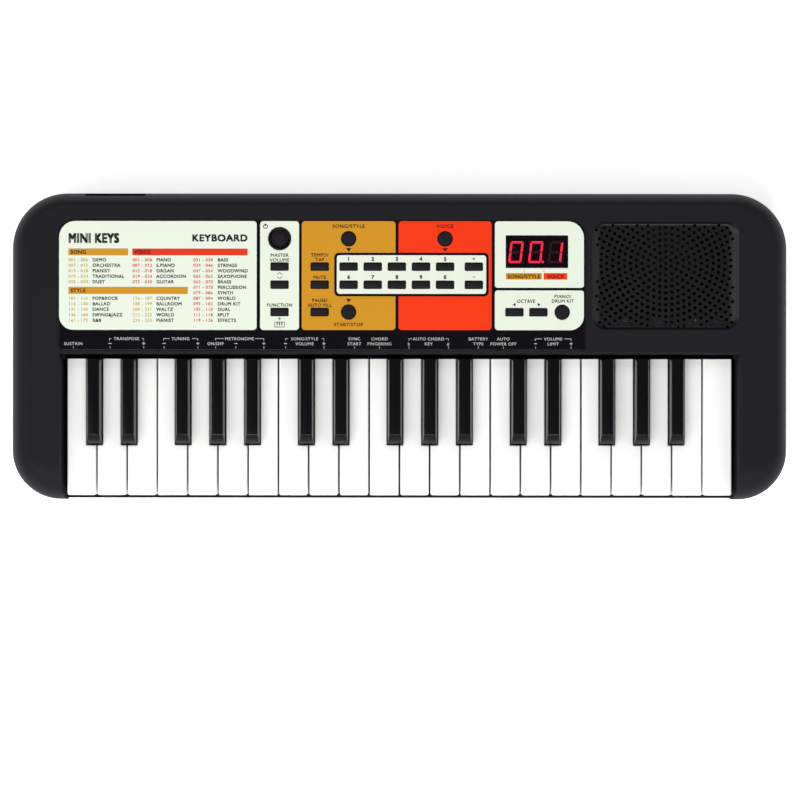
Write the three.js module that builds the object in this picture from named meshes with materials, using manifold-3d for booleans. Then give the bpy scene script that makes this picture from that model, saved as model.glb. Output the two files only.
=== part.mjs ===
// Toy electronic keyboard with 37 mini keys, a control panel with push buttons, a three-digit display and a speaker.
// Units are millimetres. +Z is up, +X is to the player's right and the player sits at -Y.
// The origin is the centre of the footprint, on the surface that the keyboard stands on.
import * as THREE from "three";
import { mergeVertices } from "three/addons/utils/BufferGeometryUtils.js";
import Module from "manifold-3d";

const wasm = await Module();
wasm.setup();

// ---------------------------------------------------------------- driving dimensions
const WIDTH = 506;
const FRONT = -99.7;
const REAR = 100.4;
const TOP = 53; // flat top of the case, without the buttons
const SPLIT = 27; // height of the parting line between the two case halves
const BASE = 2; // underside of the bottom case, above the feet
const WALL = 2.2;
const CEILING = 50; // underside of the top wall
const FLOOR = BASE + WALL;
const REAR_RADIUS = 36; // plan radii of the body's corners
const FRONT_RADIUS = 32;
const TOP_ROLL = { side: 13, rear: 10, front: 22 }; // how far the rounded edges reach in at the top
const BASE_ROLL = { side: 17, rear: 15, front: 17 }; // and at the underside
const GAP = 0.3; // between pieces that touch in the real object
const CORNER_STEPS = 5;
const ROLL_STEPS = 4;
const ROUND_SIDES = 14; // facets round a button

const KEY_PITCH = 19.68;
const WHITE_KEYS = 22;
const NOTES = ["C", "D", "E", "F", "G", "A", "B"];
// A black key follows these notes, this far from the line between its white neighbours.
const SHARP_OFFSET = { C: -1.4, D: 1.4, F: -2.95, G: 0, A: 2.95 };
const KEY_GAP = 1.1;
const KEY_WALL = 1.5;
const KEYBED = WHITE_KEYS * KEY_PITCH;
const PIVOT = { y: 14, z: 34, rodRadius: 2, slotRadius: 2.35 };
const WHITE = { front: -96.4, rear: -2, top: 42.5, plate: 2, skirt: 27 };
const BLACK = { front: -63.3, rear: -7.9, lowWidth: 9.1, top: 51.2 };
const NOTCH = { front: -63.9, half: 5.4 }; // room in the white keys for a black key
const ARM = { width: 7.5, rear: 18, bottom: 31, top: 40.5 };
const ACTUATOR = { y: -33, width: 6, thickness: 3, bottom: 24.5 };

const WELL = { lowHalf: 217.3, highHalf: 219.9, lipTop: -4.8, lipBottom: -7.8, lipZ: 43.5 };
const RAIL = { outer: -98.85, inner: -97, top: 25.5, half: 217 };

const PANEL = { left: -220.6, right: 120.1, front: -2.1, rear: 82, thickness: 1.2 };
const BUTTON_HOLE = { width: 11.8, depth: 5.4, radius: 5.1 };
const BUTTON = { width: 11, depth: 4.6, radius: 4.7, proud: 1, flange: 1.2, flangeTop: -1.6 };
const ROWS = { round: 70, upper: 52, lower: 40.3, bottom: 22.6 };
const POWER = { x: -77.6, collar: 7.5, hole: 5.9, cap: 5.5, disc: 3.9 };
const KEYPAD_X = [-32.95, -17.35, -1.75, 13.85, 29.45, 48.05];
const DISPLAY = { left: 68.9, right: 108.8, front: 51.4, rear: 72.1 };

const GRILLE = { left: 124.4, right: 219.7, front: 11.3, rear: 81.4, radius: 8.6, floor: 50.2, underside: 48.2 };
const SPEAKER = { x: 172.5, y: 54.5, radius: 28.5, top: 47.8 };
const BOARD = { left: -213, right: 117, front: 8, rear: 92, top: 46, thickness: 1.6 };
const SOCKETS = { phones: -196, usb: -176, z: 37.5, pocketFloor: 96.5 };
const BAY = { left: -101, right: -37, front: 25.5, rear: 81.5, top: 20.5, wall: 1.6 };
const DOOR = { left: -104.2, right: -33.8, front: 23, rear: 84, thickness: 1.7, clearance: 0.4, headroom: 0.45 };
const FOOT = { x: 200, front: -62, rear: 66, radius: 7 };
const BOSSES = [-62, 8, 72]; // y of the screw bosses in both cheeks
const BOSS = { x: 232, radius: 4 };

// ---------------------------------------------------------------- materials
const MATERIALS = {
  casePlastic: new THREE.MeshStandardMaterial({ color: 0x27272b, roughness: 0.55 }),
  panelPlastic: new THREE.MeshStandardMaterial({ color: 0xf0f3ea, roughness: 0.4 }),
  whiteKey: new THREE.MeshStandardMaterial({ color: 0xf7f7f4, roughness: 0.25 }),
  blackKey: new THREE.MeshStandardMaterial({ color: 0x0c0c0f, roughness: 0.25 }),
  buttonRubber: new THREE.MeshStandardMaterial({ color: 0x1d1d20, roughness: 0.7 }),
  displayLens: new THREE.MeshStandardMaterial({ color: 0x160406, roughness: 0.12 }),
  board: new THREE.MeshStandardMaterial({ color: 0x1f5a34, roughness: 0.5 }),
  frame: new THREE.MeshStandardMaterial({ color: 0x3b3b40, roughness: 0.6 }),
  speaker: new THREE.MeshStandardMaterial({ color: 0x17171a, roughness: 0.8 }),
};

// ---------------------------------------------------------------- shape helpers
// A three.js geometry as a manifold solid. Triangles that collapse to a line are left out.
function solid(geometry) {
  const bare = geometry.clone();
  bare.deleteAttribute("normal");
  bare.deleteAttribute("uv");
  const merged = mergeVertices(bare, 1e-4);
  const index = merged.index.array;
  const kept = [];
  for (let i = 0; i < index.length; i += 3) {
    const [a, b, c] = [index[i], index[i + 1], index[i + 2]];
    if (a !== b && b !== c && c !== a) kept.push(a, b, c);
  }
  const mesh = new wasm.Mesh({
    numProp: 3,
    vertProperties: new Float32Array(merged.attributes.position.array),
    triVerts: new Uint32Array(kept),
  });
  return new wasm.Manifold(mesh);
}

function geometryOf(manifold) {
  const mesh = manifold.getMesh();
  const geometry = new THREE.BufferGeometry();
  geometry.setAttribute("position", new THREE.BufferAttribute(mesh.vertProperties, 3));
  geometry.setIndex(new THREE.BufferAttribute(mesh.triVerts, 1));
  geometry.computeVertexNormals();
  return geometry;
}

function box(x0, x1, y0, y1, z0, z1) {
  const geometry = new THREE.BoxGeometry(x1 - x0, y1 - y0, z1 - z0);
  geometry.translate((x0 + x1) / 2, (y0 + y1) / 2, (z0 + z1) / 2);
  return solid(geometry);
}

// An upright cylinder, from z0 to z1.
function post(x, y, radius, z0, z1, sides = 8) {
  const geometry = new THREE.CylinderGeometry(radius, radius, z1 - z0, sides);
  geometry.rotateX(Math.PI / 2);
  geometry.translate(x, y, (z0 + z1) / 2);
  return solid(geometry);
}

// A cylinder along X, from x0 to x1.
function bar(x0, x1, y, z, radius, sides = 8) {
  const geometry = new THREE.CylinderGeometry(radius, radius, x1 - x0, sides);
  geometry.rotateZ(Math.PI / 2);
  geometry.translate((x0 + x1) / 2, y, z);
  return solid(geometry);
}

const union = (pieces) => pieces.reduce((sum, piece) => sum.add(piece));

// A closed solid through rings of points. The rings are convex, run anticlockwise seen from above, and go upwards.
function loft(rings) {
  const count = rings[0].length;
  const points = rings.flat();
  const index = [];
  for (let r = 0; r + 1 < rings.length; r++) {
    for (let i = 0; i < count; i++) {
      const j = (i + 1) % count;
      const [a, b, c, d] = [r * count + i, r * count + j, (r + 1) * count + j, (r + 1) * count + i];
      index.push(a, b, c, a, c, d);
    }
  }
  const last = (rings.length - 1) * count;
  for (let i = 1; i + 1 < count; i++) {
    index.push(0, i + 1, i, last, last + i, last + i + 1);
  }
  const geometry = new THREE.BufferGeometry();
  geometry.setAttribute("position", new THREE.Float32BufferAttribute(points.flat(), 3));
  geometry.setIndex(index);
  return solid(geometry);
}

// One ring of a rectangle at height z.
function rectangle(x0, x1, y0, y1, z) {
  return [[x0, y0, z], [x1, y0, z], [x1, y1, z], [x0, y1, z]];
}

// One ring of a rectangle with elliptical corners: radii are [x, y] at the front and at the rear.
function roundedRing(x0, x1, y0, y1, front, rear, z) {
  const corners = [
    { x: x1 - front[0], y: y0 + front[1], r: front, from: -90 },
    { x: x1 - rear[0], y: y1 - rear[1], r: rear, from: 0 },
    { x: x0 + rear[0], y: y1 - rear[1], r: rear, from: 90 },
    { x: x0 + front[0], y: y0 + front[1], r: front, from: 180 },
  ];
  const ring = [];
  for (const corner of corners) {
    for (let i = 0; i <= CORNER_STEPS; i++) {
      const angle = THREE.MathUtils.degToRad(corner.from + (90 * i) / CORNER_STEPS);
      ring.push([corner.x + corner.r[0] * Math.cos(angle), corner.y + corner.r[1] * Math.sin(angle), z]);
    }
  }
  return ring;
}

// The body's outline, drawn in by the given share of the roll and by a wall.
function bodyRing(roll, share, wall, z) {
  const side = roll.side * share + wall;
  const front = roll.front * share + wall;
  const rear = roll.rear * share + wall;
  return roundedRing(
    -WIDTH / 2 + side,
    WIDTH / 2 - side,
    FRONT + front,
    REAR - rear,
    [FRONT_RADIUS - side, FRONT_RADIUS - front],
    [REAR_RADIUS - side, REAR_RADIUS - rear],
    z,
  );
}

// The body from the parting line (height from) to its flat end (height to), along a quarter ellipse.
function bodyHalf(roll, from, to, wall) {
  const rings = [];
  for (let i = 0; i <= ROLL_STEPS; i++) {
    const angle = (Math.PI / 2) * (i / ROLL_STEPS);
    rings.push(bodyRing(roll, 1 - Math.cos(angle), wall, from + (to - from) * Math.sin(angle)));
  }
  return loft(to > from ? rings : rings.reverse());
}

// A rectangle with round corners as a THREE.Shape; radii run from front left, anticlockwise.
function roundedShape(x0, x1, y0, y1, radii) {
  const [frontLeft, frontRight, rearRight, rearLeft] = radii;
  const shape = new THREE.Shape();
  shape.moveTo(x0 + frontLeft, y0);
  shape.lineTo(x1 - frontRight, y0);
  shape.absarc(x1 - frontRight, y0 + frontRight, frontRight, -Math.PI / 2, 0, false);
  shape.lineTo(x1, y1 - rearRight);
  shape.absarc(x1 - rearRight, y1 - rearRight, rearRight, 0, Math.PI / 2, false);
  shape.lineTo(x0 + rearLeft, y1);
  shape.absarc(x0 + rearLeft, y1 - rearLeft, rearLeft, Math.PI / 2, Math.PI, false);
  shape.lineTo(x0, y0 + frontLeft);
  shape.absarc(x0 + frontLeft, y0 + frontLeft, frontLeft, Math.PI, 1.5 * Math.PI, false);
  return shape;
}

function extrude(shape, z0, z1, curveSegments = 5) {
  const geometry = new THREE.ExtrudeGeometry(shape, { depth: z1 - z0, bevelEnabled: false, curveSegments });
  geometry.translate(0, 0, z0);
  return solid(geometry);
}

// ---------------------------------------------------------------- where the buttons are
const RECTANGULAR_BUTTONS = {
  volume_up_button: [POWER.x, ROWS.upper],
  volume_down_button: [POWER.x, ROWS.lower],
  function_button: [POWER.x, ROWS.bottom],
  tempo_button: [-51.65, ROWS.upper],
  mute_button: [-51.65, ROWS.lower],
  pause_button: [-51.65, ROWS.bottom],
  octave_down_button: [74.3, ROWS.bottom],
  octave_up_button: [89.8, ROWS.bottom],
};
const ROUND_BUTTONS = {
  song_style_button: [KEYPAD_X[0], ROWS.round],
  voice_button: [KEYPAD_X[4], ROWS.round],
  start_stop_button: [KEYPAD_X[0], ROWS.bottom],
  piano_button: [105.2, ROWS.bottom],
};
const KEYPAD_PLACES = KEYPAD_X.flatMap((x) => [[x, ROWS.upper], [x, ROWS.lower]]);

// ---------------------------------------------------------------- the case
// The open space over the keys. Its sides and its rear lip lean outwards towards the top.
function wellBlock(wall) {
  const low = 20;
  const high = 60;
  const draft = (WELL.highHalf - WELL.lowHalf) / (TOP - SPLIT);
  const lean = (WELL.lipTop - WELL.lipBottom) / (TOP - WELL.lipZ);
  const ringAt = (z) => {
    const half = WELL.lowHalf + (z - SPLIT) * draft + wall;
    const rear = WELL.lipBottom + (z - WELL.lipZ) * lean + wall;
    return rectangle(-half, half, 2 * FRONT, rear, z);
  };
  return loft([ringAt(low), ringAt(high)]);
}

// The dished recess of the speaker grille, widest at the top.
function grilleDish() {
  const slope = 7;
  const edge = 1.2;
  const high = TOP + 1;
  const ring = (side, end, radius, z) =>
    roundedRing(
      GRILLE.left + side,
      GRILLE.right - side,
      GRILLE.front + end,
      GRILLE.rear - end,
      [radius, radius],
      [radius, radius],
      z,
    );
  return loft([
    ring(slope, edge, GRILLE.radius - 3, GRILLE.floor),
    ring(0, 0, GRILLE.radius, TOP),
    ring(0, 0, GRILLE.radius, high),
  ]);
}

function topCase() {
  const outer = bodyHalf(TOP_ROLL, SPLIT + GAP / 2, TOP, 0);
  const cavity = bodyHalf(TOP_ROLL, SPLIT - 1, CEILING, WALL);
  const well = wellBlock(0);
  const keyPassage = box(-WELL.lowHalf, WELL.lowHalf, -20, 10, 15, WELL.lipZ);
  const wellWalls = wellBlock(2).intersect(outer).subtract(keyPassage);
  const grilleFloor = box(GRILLE.left - 2, GRILLE.right + 2, GRILLE.front - 2, GRILLE.rear + 2, GRILLE.underside, TOP);
  const additions = [wellWalls, grilleFloor.intersect(outer), socketBlock().intersect(outer)];
  for (const side of [-1, 1]) {
    for (const y of BOSSES) {
      additions.push(post(side * BOSS.x, y, BOSS.radius, SPLIT + GAP / 2, CEILING + 1).intersect(outer));
    }
  }
  for (const x of [-205, -20, 110]) {
    for (const y of [10, 84]) {
      additions.push(post(x, y, 2.5, BOARD.top + GAP, CEILING + 1, 6));
    }
  }
  const clearance = 0.3;
  const recess = roundedShape(
    PANEL.left - clearance,
    PANEL.right + clearance,
    PANEL.front - clearance,
    PANEL.rear + clearance,
    [3, 3, 10.7, 10.7],
  );
  const panelWindow = box(-215, 116, 12, 79, CEILING - 5, TOP + 1);
  return union([outer.subtract(cavity), ...additions])
    .subtract(well)
    .subtract(extrude(recess, TOP - PANEL.thickness - GAP, TOP + 1))
    .subtract(panelWindow)
    .subtract(grilleDish())
    .subtract(socketPocket());
}

// The thick part of the rear wall around the two sockets, and the pocket and holes cut into it.
function socketBlock() {
  return box(SOCKETS.phones - 12, SOCKETS.usb + 14, 94.8, 101, 29, 46);
}

function socketPocket() {
  const pocket = box(SOCKETS.phones - 9, SOCKETS.usb + 11, SOCKETS.pocketFloor, 105, 31.5, 43.5);
  const phonesHole = bar(-3, 3, 0, 0, 3.6).rotate([0, 0, 90]).translate([SOCKETS.phones, 96, SOCKETS.z]);
  const usbHole = box(SOCKETS.usb - 4.4, SOCKETS.usb + 4.4, 93, 98, SOCKETS.z - 2, SOCKETS.z + 2);
  return union([pocket, phonesHole, usbHole]);
}

function bottomCase() {
  const outer = bodyHalf(BASE_ROLL, SPLIT - GAP / 2, BASE, 0);
  const cavity = bodyHalf(BASE_ROLL, SPLIT + 1, FLOOR, WALL);
  const shell = outer.subtract(cavity);
  const rail = box(-RAIL.half, RAIL.half, RAIL.outer, RAIL.inner, BASE, RAIL.top).intersect(outer);
  const bayOuter = box(
    BAY.left - BAY.wall - 2,
    BAY.right + BAY.wall + 2,
    DOOR.front - 0.6,
    DOOR.rear + 1.4,
    BASE + 1,
    BAY.top + BAY.wall,
  );
  const additions = [rail, bayOuter.intersect(outer)];
  for (const side of [-1, 1]) {
    for (const y of BOSSES) {
      additions.push(post(side * BOSS.x, y, BOSS.radius, BASE + 1, SPLIT - GAP / 2).intersect(outer));
    }
    for (const y of [FOOT.front, FOOT.rear]) {
      additions.push(post(side * FOOT.x, y, FOOT.radius, 0, BASE + 1, 12));
    }
  }
  const doorSeat = box(
    DOOR.left - DOOR.clearance,
    DOOR.right + DOOR.clearance,
    DOOR.front - DOOR.clearance,
    DOOR.rear + DOOR.clearance,
    0,
    BASE + DOOR.thickness + DOOR.headroom,
  );
  const middle = (DOOR.left + DOOR.right) / 2;
  return union([shell, ...additions])
    .subtract(box(-RAIL.half, RAIL.half, 2 * FRONT, RAIL.outer, 0, SPLIT + 1))
    .subtract(box(-RAIL.half, RAIL.half, 2 * FRONT, RAIL.inner + 2, RAIL.top, SPLIT + 1))
    .subtract(doorSeat)
    .subtract(box(middle - 7, middle + 7, DOOR.front - 3, DOOR.front + 1, 0, BASE + 1.9))
    .subtract(box(BAY.left, BAY.right, BAY.front, BAY.rear, BASE, BAY.top));
}

function batteryDoor() {
  const middle = (DOOR.left + DOOR.right) / 2;
  const plate = roundedShape(DOOR.left, DOOR.right, DOOR.front, DOOR.rear, [1.5, 1.5, 1.5, 1.5]);
  const latch = box(middle - 6, middle + 6, DOOR.front - 2.2, DOOR.front + 1, BASE + 0.6, BASE + 1.6);
  return extrude(plate, BASE, BASE + DOOR.thickness, 2).add(latch);
}

// ---------------------------------------------------------------- the panel and what is in it
function controlPanel() {
  const shape = roundedShape(PANEL.left, PANEL.right, PANEL.front, PANEL.rear, [3, 3, 10.4, 10.4]);
  const low = TOP - PANEL.thickness;
  const collarTop = TOP + 0.8;
  const { width, depth, radius } = BUTTON_HOLE;
  const cuts = [post(POWER.x, ROWS.round, POWER.hole, low - 1, collarTop + 1, ROUND_SIDES)];
  for (const [x, y] of [...Object.values(RECTANGULAR_BUTTONS), ...KEYPAD_PLACES]) {
    cuts.push(box(x - width / 2, x + width / 2, y - depth / 2, y + depth / 2, low - 1, TOP + 1));
  }
  for (const [x, y] of Object.values(ROUND_BUTTONS)) {
    cuts.push(post(x, y, radius, low - 1, TOP + 1, ROUND_SIDES));
  }
  cuts.push(box(
    DISPLAY.left - GAP,
    DISPLAY.right + GAP,
    DISPLAY.front - GAP,
    DISPLAY.rear + GAP,
    low - 1,
    TOP + 1,
  ));
  return extrude(shape, low, TOP)
    .add(post(POWER.x, ROWS.round, POWER.collar, low, collarTop, ROUND_SIDES))
    .subtract(union(cuts));
}

function displayWindow() {
  const shape = roundedShape(DISPLAY.left, DISPLAY.right, DISPLAY.front, DISPLAY.rear, [0.8, 0.8, 0.8, 0.8]);
  return extrude(shape, TOP - PANEL.thickness, TOP, 2);
}

// Button shapes stand on their own origin, at the panel's top surface.
function rectangularCap(x, y) {
  const [w, d] = [BUTTON.width / 2, BUTTON.depth / 2];
  const [low, high] = [BUTTON.flangeTop - 0.8, BUTTON.flangeTop];
  const cap = box(x - w, x + w, y - d, y + d, low, BUTTON.proud);
  const flange = box(x - w - BUTTON.flange, x + w + BUTTON.flange, y - d - BUTTON.flange, y + d + BUTTON.flange, low, high);
  const plunger = box(x - 1.5, x + 1.5, y - 1.5, y + 1.5, low - 3, low + 0.2);
  return union([cap, flange, plunger]);
}

function roundCap() {
  const [low, high] = [BUTTON.flangeTop - 0.8, BUTTON.flangeTop];
  return union([
    post(0, 0, BUTTON.radius, low, BUTTON.proud, ROUND_SIDES),
    post(0, 0, BUTTON.radius + BUTTON.flange, low, high, ROUND_SIDES),
    box(-1.5, 1.5, -1.5, 1.5, low - 3, low + 0.2),
  ]);
}

function powerCap() {
  const [low, high] = [BUTTON.flangeTop - 0.8, BUTTON.flangeTop];
  return union([
    post(0, 0, POWER.cap, low, -0.4, ROUND_SIDES),
    post(0, 0, POWER.disc, low, 0.6, ROUND_SIDES),
    post(0, 0, POWER.cap + BUTTON.flange, low, high, ROUND_SIDES),
    box(-1.5, 1.5, -1.5, 1.5, low - 3, low + 0.2),
  ]);
}

// Twelve caps on one sheet, as a silicone keypad is made. The sheet lies just above the main board.
function numberKeypad() {
  const margin = 6.7;
  const sheet = [-5.8, -4.8];
  const [w, d] = [BUTTON.width / 2, BUTTON.depth / 2];
  const pieces = [
    box(KEYPAD_X[0] - margin, KEYPAD_X.at(-1) + margin, ROWS.lower - 3.5, ROWS.upper + 3.5, ...sheet),
  ];
  for (const [x, y] of KEYPAD_PLACES) {
    pieces.push(box(x - w, x + w, y - d, y + d, sheet[0] + 0.5, BUTTON.proud));
  }
  return union(pieces);
}

// ---------------------------------------------------------------- the electronics
function mainBoard() {
  const low = BOARD.top - BOARD.thickness;
  const barrel = bar(-4, 3.4, 0, 0, 3.1).rotate([0, 0, 90]).translate([SOCKETS.phones, 93, SOCKETS.z]);
  return union([
    box(BOARD.left, BOARD.right, BOARD.front, BOARD.rear, low, BOARD.top),
    box(DISPLAY.left + 1, DISPLAY.right - 1, DISPLAY.front + 1, DISPLAY.rear - 1, low, TOP - 1.8),
    box(SOCKETS.phones - 6, SOCKETS.phones + 6, 78, 92, SOCKETS.z - 4, BOARD.top),
    barrel,
    box(SOCKETS.usb - 4, SOCKETS.usb + 4, 88, 96.4, SOCKETS.z - 1.5, SOCKETS.z + 1.5),
    box(SOCKETS.usb - 4, SOCKETS.usb + 4, 84, 92, SOCKETS.z - 1.5, BOARD.top),
  ]);
}

// A full-range driver: magnet, basket, rim and a shallow cone with its dust cap.
function speaker() {
  const rim = SPEAKER.radius;
  const profile = [
    [0, -26], [16, -26], [16, -17], [13, -17], [rim - 3, -4], [rim, -3.5], [rim, 0],
    [rim - 3, 0], [rim - 5, -1.8], [9, -9], [6.5, -7.2], [0, -6],
  ];
  const points = profile.map(([r, z]) => new THREE.Vector2(r, z));
  const geometry = new THREE.LatheGeometry(points, 14);
  geometry.rotateX(Math.PI / 2);
  return solid(geometry);
}

// ---------------------------------------------------------------- the keys
// Key shapes have their origin on the pivot rod's axis.
const local = (x0, x1, y0, y1, z0, z1) =>
  box(x0, x1, y0 - PIVOT.y, y1 - PIVOT.y, z0 - PIVOT.z, z1 - PIVOT.z);

// The hooked arm at the rear of a key, with the slot that sits over the pivot rod, and the rib that
// presses the contact strip.
function keyArm(centre) {
  const half = ARM.width / 2;
  const arm = local(centre - half, centre + half, WHITE.rear - 2, ARM.rear, ARM.bottom, ARM.top);
  const ends = [centre - half - 1, centre + half + 1];
  const slot = bar(...ends, 0, 0, PIVOT.slotRadius);
  const mouth = box(...ends, -PIVOT.slotRadius, PIVOT.slotRadius, -10, 0);
  return arm.subtract(slot).subtract(mouth);
}

function actuatorRib(centre, top) {
  const { y, width, thickness, bottom } = ACTUATOR;
  const half = [width / 2, thickness / 2];
  return local(centre - half[0], centre + half[0], y - half[1], y + half[1], bottom, top);
}

// A white key is a shell that is open below. Its tail lies between tailLeft and tailRight, from its own centre.
function whiteKey(tailLeft, tailRight) {
  const half = (KEY_PITCH - KEY_GAP) / 2;
  const { front, rear, top, plate, skirt } = WHITE;
  const centre = (tailLeft + tailRight) / 2;
  const body = union([
    local(-half, half, front, NOTCH.front, skirt, top),
    local(tailLeft, tailRight, NOTCH.front - 1, rear, skirt, top),
  ]);
  const inside = [half - KEY_WALL, top - plate];
  const hollow = union([
    local(-inside[0], inside[0], front + KEY_WALL, NOTCH.front - KEY_WALL, skirt - 1, inside[1]),
    local(tailLeft + KEY_WALL, tailRight - KEY_WALL, NOTCH.front - 3, rear - KEY_WALL, skirt - 1, inside[1]),
  ]);
  return union([body.subtract(hollow), keyArm(centre), actuatorRib(centre, WHITE.top - 1)]);
}

function blackKey() {
  const { front, rear, lowWidth, top } = BLACK;
  const ring = (width, frontEdge, z) =>
    rectangle(-width / 2, width / 2, frontEdge - PIVOT.y, rear - PIVOT.y, z - PIVOT.z);
  const upper = loft([
    ring(9.9, front, WHITE.top - 1),
    ring(9, front + 1, WHITE.top + 3.5),
    ring(7.4, front + 6.6, top),
  ]);
  const half = lowWidth / 2;
  const lower = local(-half, half, front + 1.7, WHITE.rear, WHITE.skirt, WHITE.top - 0.5);
  const inside = half - KEY_WALL;
  const hollow = local(-inside, inside, front + 3.2, rear - 2, WHITE.skirt - 1, WHITE.top + 3);
  return union([upper.add(lower).subtract(hollow), keyArm(0), actuatorRib(0, WHITE.top + 4)]);
}

// Every key's name, place and tail, from left to right.
function keyboardLayout() {
  const keys = [];
  const left = -KEYBED / 2;
  for (let i = 0; i < WHITE_KEYS; i++) {
    const note = NOTES[i % 7];
    const octave = Math.floor(i / 7) + 1;
    const centre = left + (i + 0.5) * KEY_PITCH;
    const sharpAfter = i + 1 < WHITE_KEYS ? SHARP_OFFSET[note] : undefined;
    const sharpBefore = i > 0 ? SHARP_OFFSET[NOTES[(i - 1) % 7]] : undefined;
    const edge = (KEY_PITCH - KEY_GAP) / 2;
    const tailLeft = sharpBefore === undefined ? -edge : -KEY_PITCH / 2 + sharpBefore + NOTCH.half;
    const tailRight = sharpAfter === undefined ? edge : KEY_PITCH / 2 + sharpAfter - NOTCH.half;
    keys.push({ name: `white_key_${note}${octave}`, x: centre, white: true, tailLeft, tailRight });
    if (sharpAfter !== undefined) {
      keys.push({ name: `black_key_${note}_sharp${octave}`, x: centre + KEY_PITCH / 2 + sharpAfter, white: false });
    }
  }
  return keys;
}

// ---------------------------------------------------------------- what the keys stand on
const keyCentre = (key) => key.x + (key.white ? (key.tailLeft + key.tailRight) / 2 : 0);

function keyFrame(keys) {
  const half = KEYBED / 2 + 2.2;
  const deck = [12, 14];
  const pieces = [
    box(-half, half, -92, 22, ...deck),
    box(-half, half, 20, 22, 13, PIVOT.z + 2),
    bar(-half, half, PIVOT.y, PIVOT.z, PIVOT.rodRadius),
  ];
  // A rib carries the rod between E and F and between B and C, where two white keys meet.
  for (let octave = 0; octave < 3; octave++) {
    for (const line of [3, 7]) {
      const x = -KEYBED / 2 + (octave * 7 + line) * KEY_PITCH;
      pieces.push(box(x - 0.9, x + 0.9, 9, 21, 13, PIVOT.z + 2));
    }
  }
  for (const x of [-half, half - 1.9]) {
    pieces.push(box(x, x + 1.9, 9, 21, 13, PIVOT.z + 2));
  }
  for (const x of [-205, -70, 70, 205]) {
    pieces.push(box(x - 1, x + 1, -80, 16, FLOOR + 0.4, 13));
  }
  // A guide post stands inside each white key.
  for (const key of keys.filter((each) => each.white)) {
    pieces.push(box(key.x - 3, key.x + 3, -88, -84, 13, 33));
  }
  return union(pieces);
}

// The circuit board under the keys, with the silicone domes that the keys press.
function keyContactBoard(keys) {
  const low = 14 + GAP;
  const pieces = [box(-KEYBED / 2 + 2, KEYBED / 2 - 2, -46, -20, low, low + 1.6)];
  for (const key of keys) {
    const x = keyCentre(key);
    pieces.push(box(x - 3, x + 3, ACTUATOR.y - 3, ACTUATOR.y + 3, low + 1, 21.9));
  }
  return union(pieces);
}

// ---------------------------------------------------------------- the assembly
const keyboard = new THREE.Group();

function place(name, shape, material, position = [0, 0, 0]) {
  const mesh = new THREE.Mesh(geometryOf(shape), material);
  mesh.name = name;
  mesh.position.set(...position);
  keyboard.add(mesh);
}

place("top_case", topCase(), MATERIALS.casePlastic);
place("bottom_case", bottomCase(), MATERIALS.casePlastic);
place("battery_door", batteryDoor(), MATERIALS.casePlastic);
place("control_panel", controlPanel(), MATERIALS.panelPlastic);
place("display_window", displayWindow(), MATERIALS.displayLens);
place("main_board", mainBoard(), MATERIALS.board);
place("speaker", speaker(), MATERIALS.speaker, [SPEAKER.x, SPEAKER.y, SPEAKER.top]);

for (const [name, [x, y]] of Object.entries(RECTANGULAR_BUTTONS)) {
  place(name, rectangularCap(0, 0), MATERIALS.buttonRubber, [x, y, TOP]);
}
for (const [name, [x, y]] of Object.entries(ROUND_BUTTONS)) {
  place(name, roundCap(), MATERIALS.buttonRubber, [x, y, TOP]);
}
place("power_button", powerCap(), MATERIALS.buttonRubber, [POWER.x, ROWS.round, TOP]);
place("number_keypad", numberKeypad(), MATERIALS.buttonRubber, [0, 0, TOP]);

const keys = keyboardLayout();
for (const key of keys) {
  const shape = key.white ? whiteKey(key.tailLeft, key.tailRight) : blackKey();
  const material = key.white ? MATERIALS.whiteKey : MATERIALS.blackKey;
  place(key.name, shape, material, [key.x, PIVOT.y, PIVOT.z]);
}
place("key_frame", keyFrame(keys), MATERIALS.frame);
place("key_contact_board", keyContactBoard(keys), MATERIALS.board);

export default keyboard;
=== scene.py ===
import math

import bmesh
import bpy
from mathutils import Matrix, Vector


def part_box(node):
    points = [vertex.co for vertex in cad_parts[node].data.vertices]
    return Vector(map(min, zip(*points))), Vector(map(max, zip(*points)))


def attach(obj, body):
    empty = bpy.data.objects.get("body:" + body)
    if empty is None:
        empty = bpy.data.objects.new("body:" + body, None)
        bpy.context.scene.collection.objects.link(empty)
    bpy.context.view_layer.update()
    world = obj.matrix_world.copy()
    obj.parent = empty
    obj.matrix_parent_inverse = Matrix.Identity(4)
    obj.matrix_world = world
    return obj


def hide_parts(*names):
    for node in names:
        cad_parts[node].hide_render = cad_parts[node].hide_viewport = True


# Visual model of the toy electronic keyboard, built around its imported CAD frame.
# Sizes are in millimetres in the frame's axes, and become metres where a mesh is made.

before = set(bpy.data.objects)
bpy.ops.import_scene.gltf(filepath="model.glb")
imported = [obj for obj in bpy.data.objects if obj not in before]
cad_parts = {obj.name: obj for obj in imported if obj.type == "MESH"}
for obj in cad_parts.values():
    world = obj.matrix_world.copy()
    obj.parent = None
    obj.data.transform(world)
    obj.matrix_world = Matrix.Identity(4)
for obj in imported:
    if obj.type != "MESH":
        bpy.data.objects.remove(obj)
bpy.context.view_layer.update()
MM = 0.001


def cad_box(node):
    """The lowest and highest corner of a CAD node, in millimetres."""
    low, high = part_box(node)
    return [c / MM for c in low], [c / MM for c in high]


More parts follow.
